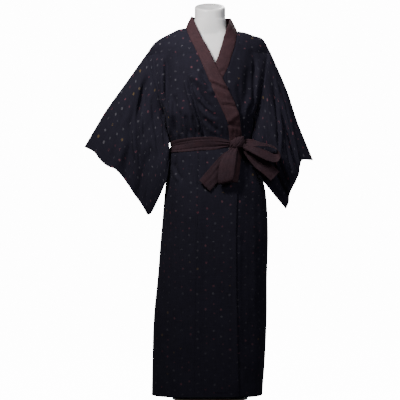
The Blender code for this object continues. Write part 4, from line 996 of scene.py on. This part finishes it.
def ribbon(rows, steps, seed, crown):
    """A strip of the belt: its middle line read from the table, widened along the width's way.

    Its soft pleats run along it and are deepest where it is narrow, at the knot. crown bends it across.
    """
    table = np.column_stack([np.linspace(0, 1, len(rows)), np.array(rows)])
    at = np.linspace(0, 1, steps + 1)
    line = np.stack([through(at, table, c) for c in (1, 2, 3)], axis=-1)
    width = through(at, table, 4)
    way = unit(np.stack([through(at, table, c) for c in (5, 6, 7)], axis=-1))
    across = np.linspace(-0.5, 0.5, RIBBON_COLUMNS + 1)
    grid = line[:, None] + way[:, None] * (width[:, None] * across)[..., None]
    normal = unit(np.cross(np.gradient(grid, axis=0), np.gradient(grid, axis=1)))
    tight = np.clip(1 - width / max(width), 0, 1)[:, None]
    s, at = across[None, :], at[:, None]
    pleat = np.sin(2 * np.pi * RIBBON_PLEATS * (s + 0.08 * np.sin(at * 5 + seed))) * (0.0003 + 0.0022 * tight)
    bend = crown * (1 - 4 * s**2) * (1 - 0.6 * tight)
    centre = -0.0009 * np.exp(-np.abs((s - 0.06 * np.sin(at * 4 + seed)) / 0.05) ** 1.5)
    wave = 0.0009 * rumple(at * 0.25, s * 0.06, 0.06, seed)
    return grid + normal * (pleat + bend + centre + wave)[..., None]


def knot_mesh():
    """The knot: a leaning cushion of the belt's own cloth, pleated from its lower end to its raised top.

    The skin's radius is 1 less a sharp valley at each place across it, and the upper end rises into an ear.
    """
    turn = np.linspace(0, 2 * np.pi, 145)[:-1][None, :]
    rise = np.linspace(-np.pi / 2, np.pi / 2, 81)[:, None]
    cx, cy, cz = np.cos(rise) * np.cos(turn), np.cos(rise) * np.sin(turn), np.sin(rise)
    across = cx - 0.18 * np.sin(cz * 2.6)
    size = 1.0 + 0 * across
    for place, deep, wide in KNOT_PLEATS:
        uneven = 0.75 + 0.25 * np.sin(cz * 4 + place * 9)
        size = size - deep * np.exp(-np.abs((across - place) / wide) ** 1.4) * uneven
    size = size + 0.03 * np.sin(cz * 9 + across * 7)
    size = size + 0.26 * np.exp(-((cx - 0.35) ** 2 + (cz - 0.90) ** 2) / 0.10)
    box = np.stack(np.broadcast_arrays(*(bulged(c, 0.85) for c in (cx, cy, cz))), axis=-1)
    grid = np.array(KNOT_CENTRE) + box * size[..., None] * np.array(KNOT_HALF)
    grid[..., 0] += KNOT_LEAN * (grid[..., 2] - KNOT_CENTRE[2])
    return grid


def form_mesh(sides=128):
    """The form's shell: rounded oblongs up to the neck, whose top leans forwards with a rounded edge.

    The rings are, from the bottom up: three that close the foot, the body's, the neck's, the edge's quarter
    turn and the flat top's, drawn together in its middle.
    """
    turn = np.arange(sides) * 2 * np.pi / sides
    sine, cosine = np.sin(turn), np.cos(turn)
    power = 2 / FORM_POWER
    z = np.concatenate([
        even_rows(FORM_FOOT_Z, FORM_SHOULDER_Z, 0.008), even_rows(FORM_SHOULDER_Z, NECK_FOOT_Z, 0.003)[1:],
    ])
    half, front, back = (through(z, FORM_SECTIONS, c)[:, None] for c in (1, 2, 3))
    reach = np.where(sine < 0, front, back)
    rings = np.stack(np.broadcast_arrays(
        half * bulged(cosine, power), reach * bulged(sine, power), z[:, None] + 0 * turn,
    ), axis=-1)

    def neck_ring(radius, sunk, share=1.0):
        """A round ring on the leaning top, sunk below it, at a share of the way up from the neck's foot."""
        x, y = radius * cosine, radius * sine
        goal = NECK_TOP_Z + NECK_TILT * y - sunk
        return np.stack([x, y, NECK_FOOT_Z + (goal - NECK_FOOT_Z) * share], axis=-1)

    shares = np.linspace(0, 1, 9)[1:]
    bends = np.linspace(0, np.pi / 2, 8)[1:]
    top = [neck_ring(NECK_HALF, NECK_EDGE, share) for share in shares]
    top += [neck_ring(NECK_HALF - NECK_EDGE * (1 - np.cos(a)), NECK_EDGE * (1 - np.sin(a))) for a in bends]
    top += [neck_ring((NECK_HALF - NECK_EDGE) * (1 - share) + 0.0005, 0.0) for share in shares]
    bottom = [rings[0] * np.array([s, s, 1.0]) for s in (0.02, 0.35, 0.7)]
    return np.concatenate([bottom, rings, top])


# Materials


class Value:
    """A shader value that can be reckoned with: each sum or product adds a math node."""

    def __init__(self, tree, socket):
        self.tree, self.socket = tree, socket

    def math(self, operation, *others):
        """The outcome of a math node whose inputs are this value and the others."""
        node = self.tree.nodes.new("ShaderNodeMath")
        node.operation = operation
        for k, value in enumerate((self, *others)):
            if isinstance(value, Value):
                self.tree.links.new(value.socket, node.inputs[k])
            else:
                node.inputs[k].default_value = value
        return Value(self.tree, node.outputs[0])

    def __add__(self, other):
        return self.math("ADD", other)

    def __sub__(self, other):
        return self.math("SUBTRACT", other)

    def __mul__(self, other):
        return self.math("MULTIPLY", other)

    def __truediv__(self, other):
        return self.math("DIVIDE", other)

    def step(self, low, high):
        """0 below low, 1 above high, and smooth between."""
        node = self.tree.nodes.new("ShaderNodeMapRange")
        node.interpolation_type = "SMOOTHSTEP"
        self.tree.links.new(self.socket, node.inputs["Value"])
        node.inputs["From Min"].default_value = low
        node.inputs["From Max"].default_value = high
        return Value(self.tree, node.outputs["Result"])


def coordinates(tree, object_space=False):
    """The piece's cloth coordinates, or its own object coordinates, and their separate parts."""
    if object_space:
        node = tree.nodes.new("ShaderNodeTexCoord")
        out = node.outputs["Object"]
    else:
        node = tree.nodes.new("ShaderNodeUVMap")
        node.uv_map = "cloth"
        out = node.outputs["UV"]
    parts = tree.nodes.new("ShaderNodeSeparateXYZ")
    tree.links.new(out, parts.inputs[0])
    return out, [Value(tree, parts.outputs[k]) for k in range(3)]


def noise(tree, vector, scale, detail=2.0, rough=0.5, stretch=None):
    """A cloudy value from 0 to 1; stretch multiplies the coordinates first."""
    node = tree.nodes.new("ShaderNodeTexNoise")
    node.inputs["Scale"].default_value = scale
    node.inputs["Detail"].default_value = detail
    node.inputs["Roughness"].default_value = rough
    if stretch:
        mapping = tree.nodes.new("ShaderNodeMapping")
        mapping.inputs["Scale"].default_value = stretch
        tree.links.new(vector, mapping.inputs["Vector"])
        vector = mapping.outputs["Vector"]
    tree.links.new(vector, node.inputs["Vector"])
    return Value(tree, node.outputs["Fac"])


def cell_random(tree, a, b, offset=0.0):
    """Three steady random numbers for a cell of the repeat."""
    joined = tree.nodes.new("ShaderNodeCombineXYZ")
    tree.links.new(a.socket, joined.inputs[0])
    tree.links.new(b.socket, joined.inputs[1])
    joined.inputs[2].default_value = offset
    node = tree.nodes.new("ShaderNodeTexWhiteNoise")
    node.noise_dimensions = "3D"
    tree.links.new(joined.outputs[0], node.inputs["Vector"])
    parts = tree.nodes.new("ShaderNodeSeparateColor")
    tree.links.new(node.outputs["Color"], parts.inputs[0])
    return [Value(tree, parts.outputs[k]) for k in range(3)]


def mixed(tree, share, low, high):
    """A colour between two, by a value."""
    node = tree.nodes.new("ShaderNodeMix")
    node.data_type = "RGBA"
    tree.links.new(share.socket, node.inputs[0])
    for k, colour in ((6, low), (7, high)):
        if hasattr(colour, "is_output"):
            tree.links.new(colour, node.inputs[k])
        else:
            node.inputs[k].default_value = (*colour, 1)
    return node.outputs[2]


def shader(name):
    """A new material, its nodes and its surface shader."""
    made = bpy.data.materials.new(name)
    made.use_nodes = True
    return made, made.node_tree, made.node_tree.nodes["Principled BSDF"]


def threads(tree, vector, scale, long, thin):
    """Slubby yarn, along and across: two stretched noises in equal shares."""
    weft = noise(tree, vector, scale, 3.0, 0.6, stretch=(long, thin, 1.0)) * 0.5
    return weft + noise(tree, vector, scale, 3.0, 0.6, stretch=(thin, long, 1.0)) * 0.5


def surface(tree, out, colour, rough, height, strength, distance, **settings):
    """Join the colour, the roughness and a bump to the surface, and set its other inputs by their names."""
    tree.links.new(colour, out.inputs["Base Color"])
    tree.links.new(rough.socket, out.inputs["Roughness"])
    node = tree.nodes.new("ShaderNodeBump")
    node.inputs["Strength"].default_value = strength
    node.inputs["Distance"].default_value = distance
    tree.links.new(height.socket, node.inputs["Height"])
    tree.links.new(node.outputs[0], out.inputs["Normal"])
    for name, value in settings.items():
        out.inputs[name.replace("_", " ")].default_value = value


def weave_height(u, v, pitch, wobble):
    """A plain weave: the product of two waves, one for the warp and one for the weft, unevenly spun."""
    warp = (u * (2 * np.pi / pitch) + wobble * 2.0).math("SINE")
    weft = (v * (2 * np.pi / pitch) + wobble * 2.6).math("SINE")
    return warp * weft * 0.5 + 0.5


def cotton_material():
    """Dark navy cotton with a half-drop repeat of small woven flecks, white, pink, red and ochre.

    Each cell of the repeat holds a blot, a chevron or a ring, a little out of place and ragged at its edge.
    Painted shade fades the flecks with height, from full strength at 1.0 m to half at 0.45 m and below,
    darker towards the hem.
    """
    made, tree, out = shader("navy_flecked_cotton")
    vector, (u, v, _) = coordinates(tree)
    column = (u / FLECK_ACROSS).math("FLOOR")
    odd = (column * 0.5).math("FRACT") * 2.0
    lifted = v / FLECK_ALONG + odd * 0.5
    row = lifted.math("FLOOR")
    r1, r2, r3 = cell_random(tree, column, row)
    s1, s2, s3 = cell_random(tree, column, row, 7.0)
    px = (((u / FLECK_ACROSS).math("FRACT") - 0.5) + (r1 - 0.5) * FLECK_STRAY) * FLECK_ACROSS
    py = ((lifted.math("FRACT") - 0.5) + (r2 - 0.5) * FLECK_STRAY) * FLECK_ALONG
    ragged = (noise(tree, vector, 900.0, 2.0) - 0.5) * 0.0022
    radius = (px * px + py * py).math("SQRT") + ragged
    blot = (radius / ((s1 * 0.45 + 0.80) * 0.0036)).step(1.20, 0.70)
    arm = (px.math("ABSOLUTE") * 1.25 - (py + 0.0026)).math("ABSOLUTE") + ragged * 0.6
    chevron = arm.step(0.0019, 0.0010) * radius.step(0.0056, 0.0044)
    ring = ((radius - 0.0030).math("ABSOLUTE")).step(0.0016, 0.0008) * (py + 0.0008).step(-0.0004, 0.0004)
    _, (_, _, up) = coordinates(tree, object_space=True)
    # painted shade: the flecks fade from full strength at 1.0 m to half at 0.45 m and below, darker towards
    # the hem
    painted_shade_low = up.step(0.45, 1.00) * 0.5 + 0.5
    is_chevron = s2.step(0.60, 0.61)
    is_ring = s2.step(0.78, 0.79)
    shape = blot * (is_chevron * -1.0 + 1.0) + chevron * (is_chevron - is_ring) + ring * is_ring
    present = s3.step(0.08, 0.10)
    fibres = noise(tree, vector, 2600.0, 1.0) * 0.9 + 0.35
    shape = shape * present * fibres.math("MINIMUM", 1.0) * (s1 * 0.6 + 0.45).math("MINIMUM", 1.0)
    shape = shape * (noise(tree, vector, 2.6, 2.0).step(0.30, 0.62) * 0.3 + 0.7) * painted_shade_low
    band = noise(tree, vector, 7.0, 1.0, stretch=(1.0, 0.55, 1.0)) - 0.5
    redness = (r3 + band * 1.5).step(0.60, 0.66)
    ochre = s1.step(0.955, 0.965)
    slub = threads(tree, vector, 60.0, 9.0, 0.35)
    faded = noise(tree, vector, 5.0, 4.0, 0.6)
    dark, light, worn = NAVY
    base = mixed(tree, slub.step(0.40, 0.62), dark, light)
    base = mixed(tree, faded.step(0.35, 0.75) * 0.7, base, worn)
    tint = mixed(tree, redness, mixed(tree, r1, *PALE_FLECK), mixed(tree, r2, *RED_FLECK))
    tint = mixed(tree, ochre, tint, OCHRE_FLECK)
    wobble = noise(tree, vector, 180.0, 2.0)
    height = weave_height(u, v, 0.00085, wobble) * 0.5 + slub * 0.9 + shape * 0.25
    surface(tree, out, mixed(tree, shape, base, tint), slub * 0.12 + 0.80, height, 0.55, 0.00022,
            Specular_IOR_Level=0.12, Sheen_Weight=0.025, Sheen_Roughness=0.45,
            Sheen_Tint=(0.55, 0.55, 0.75, 1))
    return made


def trim_material(name, dark, light, red):
    """Maroon-brown cotton: a close weave with uneven dye, redder in soft patches."""
    made, tree, out = shader(name)
    vector, (u, v, _) = coordinates(tree)
    place, _ = coordinates(tree, object_space=True)
    mottle = noise(tree, place, 26.0, 5.0, 0.62)
    thread = threads(tree, vector, 90.0, 10.0, 0.4)
    colour = mixed(tree, thread.step(0.38, 0.64), dark, light)
    colour = mixed(tree, (mottle - 0.42) * 1.6, colour, red)
    wobble = noise(tree, place, 160.0, 2.0)
    height = weave_height(u, v, 0.0010, wobble) * 0.6 + thread * 0.8
    surface(tree, out, colour, thread * 0.15 + 0.74, height, 0.6, 0.00025,
            Specular_IOR_Level=0.14, Sheen_Weight=0.04, Sheen_Roughness=0.40,
            Sheen_Tint=(0.9, 0.6, 0.6, 1))
    return made


def shell_material():
    """Glossy white gel coat with faint unevenness and a little dust in the gloss."""
    made, tree, out = shader("white_gel_coat")
    place, _ = coordinates(tree, object_space=True)
    cloud = noise(tree, place, 9.0, 4.0, 0.55)
    dust = noise(tree, place, 420.0, 2.0)
    colour = mixed(tree, cloud.step(0.3, 0.7), *GEL_WHITE)
    surface(tree, out, colour, dust * 0.10 + cloud * 0.10 + 0.16, cloud, 0.12, 0.002,
            Coat_Weight=0.5, Coat_Roughness=0.08,
            Subsurface_Weight=0.05, Subsurface_Radius=(0.01, 0.008, 0.007))
    return made


def steel_material():
    """Steel under pale satin enamel, with a faint orange-peel surface and slight scuffs."""
    made, tree, out = shader("pale_enamelled_steel")
    place, _ = coordinates(tree, object_space=True)
    peel = noise(tree, place, 700.0, 2.0)
    scuff = noise(tree, place, 22.0, 5.0, 0.65)
    colour = mixed(tree, scuff.step(0.35, 0.70), *ENAMEL_GREY)
    surface(tree, out, colour, peel * 0.08 + scuff * 0.22 + 0.18, peel, 0.25, 0.0003, Coat_Weight=0.3)
    return made


# Scene


def take_place(made, node):
    """Let a piece ride on the part in place of its CAD node, which is hidden."""
    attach(made, "root")
    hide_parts(node)


def flat_area(grid, closed=False):
    """The cloth's area: the sum of its quads' areas, each from its diagonals."""
    if closed:
        grid = np.concatenate([grid, grid[:, :1]], axis=1)
    one, two = grid[1:, 1:] - grid[:-1, :-1], grid[1:, :-1] - grid[:-1, 1:]
    return np.linalg.norm(np.cross(one, two), axis=-1).sum() / 2


def add_sheet(name, node, grid, uv, material, thickness, closed=False, offset=-1):
    """A cloth piece in place of its CAD node; its flat area is worked out and not kept."""
    made = add_mesh(name, grid, uv, material, thickness, closed, offset)
    take_place(made, node)
    round(flat_area(grid, closed), 4)


def build_garment(cotton, trim, belt_trim):
    """Every cloth piece: the body panels, the overlaps, the sleeves, the collar, the belt and its bow."""
    sides, bodies = (("r", "right"), ("l", "left")), ["kimono_body_right", "kimono_body_left"]
    for side, word in sides:
        base, grid = body_panel(side)
        start = [half_panel(side, "front")[:, 0, 0], half_panel(side, "back")[-2::-1, 0, 0]]
        uv = cloth_map(base, np.abs(np.concatenate(start)))
        uv[..., 0] *= -1 if side == "r" else 1
        grid, uv = facing_out(grid, base * OUTWARD, uv)
        add_sheet(f"kimono_body_{word}", f"body_{word}", grid, uv, cotton, CLOTH_THICK)
    for side, word in sides:
        base, grid = okumi_panel(side)
        grid, uv = facing_out(grid, base * OUTWARD, cloth_map(base, -np.abs(base[:, 0, 0])))
        add_sheet(f"kimono_okumi_{word}", f"okumi_{word}", grid, uv, cotton, CLOTH_THICK)
    for side, word in sides:
        grid = sleeve_tube(side)
        uv = cloth_map(grid, SLEEVE_CLOTH_START[side], turn=True)
        if side == "l":
            grid, uv = grid[::-1], uv[::-1]
        add_sheet(f"kimono_sleeve_{word}", f"sleeve_{word}", grid, uv, cotton, CLOTH_THICK,
                  closed=True)
    band = collar_band()
    band, uv = facing_out(band, off_neck(band), cloth_map(band))
    add_sheet("kimono_collar", "collar", band, uv, trim, BAND_THICK)
    grid = belt_band()
    grid, uv = facing_out(grid, grid * np.array([1.0, 1.0, 0.0]), cloth_map(grid))
    add_sheet("belt_round_waist", "belt_band", grid, uv, belt_trim, BELT_THICK)
    for seed, (name, node, rows, steps, crown, flat) in enumerate(RIBBONS, 1):
        grid = ribbon(rows, steps, float(seed), crown)
        add_sheet(name, node, grid, cloth_map(grid), belt_trim, BELT_THICK,
                  offset=0)
    grid = knot_mesh()
    take_place(add_mesh("belt_knot_wrap", grid, cloth_map(grid), belt_trim, closed=True), "belt_knot")


def build_form(shell, steel):
    """The form's glossy shell in place of its solid, and enamel on the pole and the foot."""
    grid = form_mesh()
    take_place(add_mesh("form_gloss_shell", grid, cloth_map(grid), shell, closed=True), "form_shell")
    for node in ("form_pole", "form_foot"):
        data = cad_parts[node].data
        data.materials.clear()
        data.materials.append(steel)


def add_light(name, place, aim, size, power, colour, spread):
    """A soft area light at a place, turned towards a point; spread is its beam's angle in degrees."""
    data = bpy.data.lights.new(name, "AREA")
    data.energy = power
    data.color = colour
    data.size = size
    data.spread = np.radians(spread)
    made = bpy.data.objects.new(name, data)
    made.location = place
    made.rotation_euler = (Vector(aim) - Vector(place)).to_track_quat("-Z", "Y").to_euler()
    bpy.context.scene.collection.objects.link(made)


def build_stage():
    """A pale round floor, soft lights and the camera.

    The floor curves up through a quarter turn into a wall, and the wall into a white dome.
    """
    bend = np.linspace(0, np.pi / 2, 13)
    over = bend[1:-1]
    radius = np.concatenate([[0.01, 4, 9, 12], 14 + 2 * np.sin(bend), [16], 16 * np.cos(over), [0.02]])
    height = np.concatenate([[0, 0, 0, 0], 2 - 2 * np.cos(bend), [6], 6 + 8 * np.sin(over), [14]])
    turn = np.arange(64) * 2 * np.pi / 64
    x, y = radius[:, None] * np.cos(turn), radius[:, None] * np.sin(turn)
    grid = np.stack([x, y, np.repeat(height[:, None], 64, 1)], axis=-1)
    made, tree, out = shader("studio_white")
    place, _ = coordinates(tree, object_space=True)
    grain = noise(tree, place, 3.0, 3.0)
    colour = mixed(tree, grain, *FLOOR_WHITE)
    tree.links.new(colour, out.inputs["Base Color"])
    out.inputs["Roughness"].default_value = 0.9
    out.inputs["Emission Color"].default_value = (1, 1, 1, 1)
    out.inputs["Emission Strength"].default_value = ROOM_GLOW
    floor = add_mesh("studio_floor", grid[:, ::-1], grid[:, ::-1, :2], made, closed=True)
    floor.visible_diffuse = False
    floor.visible_glossy = False
    world = bpy.data.worlds.new("studio_world")
    bpy.context.scene.world = world
    world.use_nodes = True
    sky = world.node_tree.nodes["Background"]
    sky.inputs["Color"].default_value = SKY_COLOUR
    sky.inputs["Strength"].default_value = SKY_STRENGTH
    for light in LIGHTS:
        add_light(*light)
    data = bpy.data.cameras.new("camera")
    data.lens = CAMERA_LENS
    data.sensor_width = 36
    camera = bpy.data.objects.new("camera", data)
    camera.location = CAMERA_PLACE
    camera.rotation_euler = (np.pi / 2, 0, 0)
    bpy.context.scene.collection.objects.link(camera)
    bpy.context.scene.camera = camera


def main():
    """The materials, the studio, the garment and the form."""
    cotton = cotton_material()
    collar_trim = trim_material("maroon_collar_cotton", *COLLAR_MAROON)
    # the belt's trim takes the darker maroon, which holds painted shade
    belt_trim = trim_material("maroon_belt_cotton_painted_shade", *BELT_MAROON_PAINTED_SHADE)
    build_stage()
    build_garment(cotton, collar_trim, belt_trim)
    build_form(shell_material(), steel_material())


main()
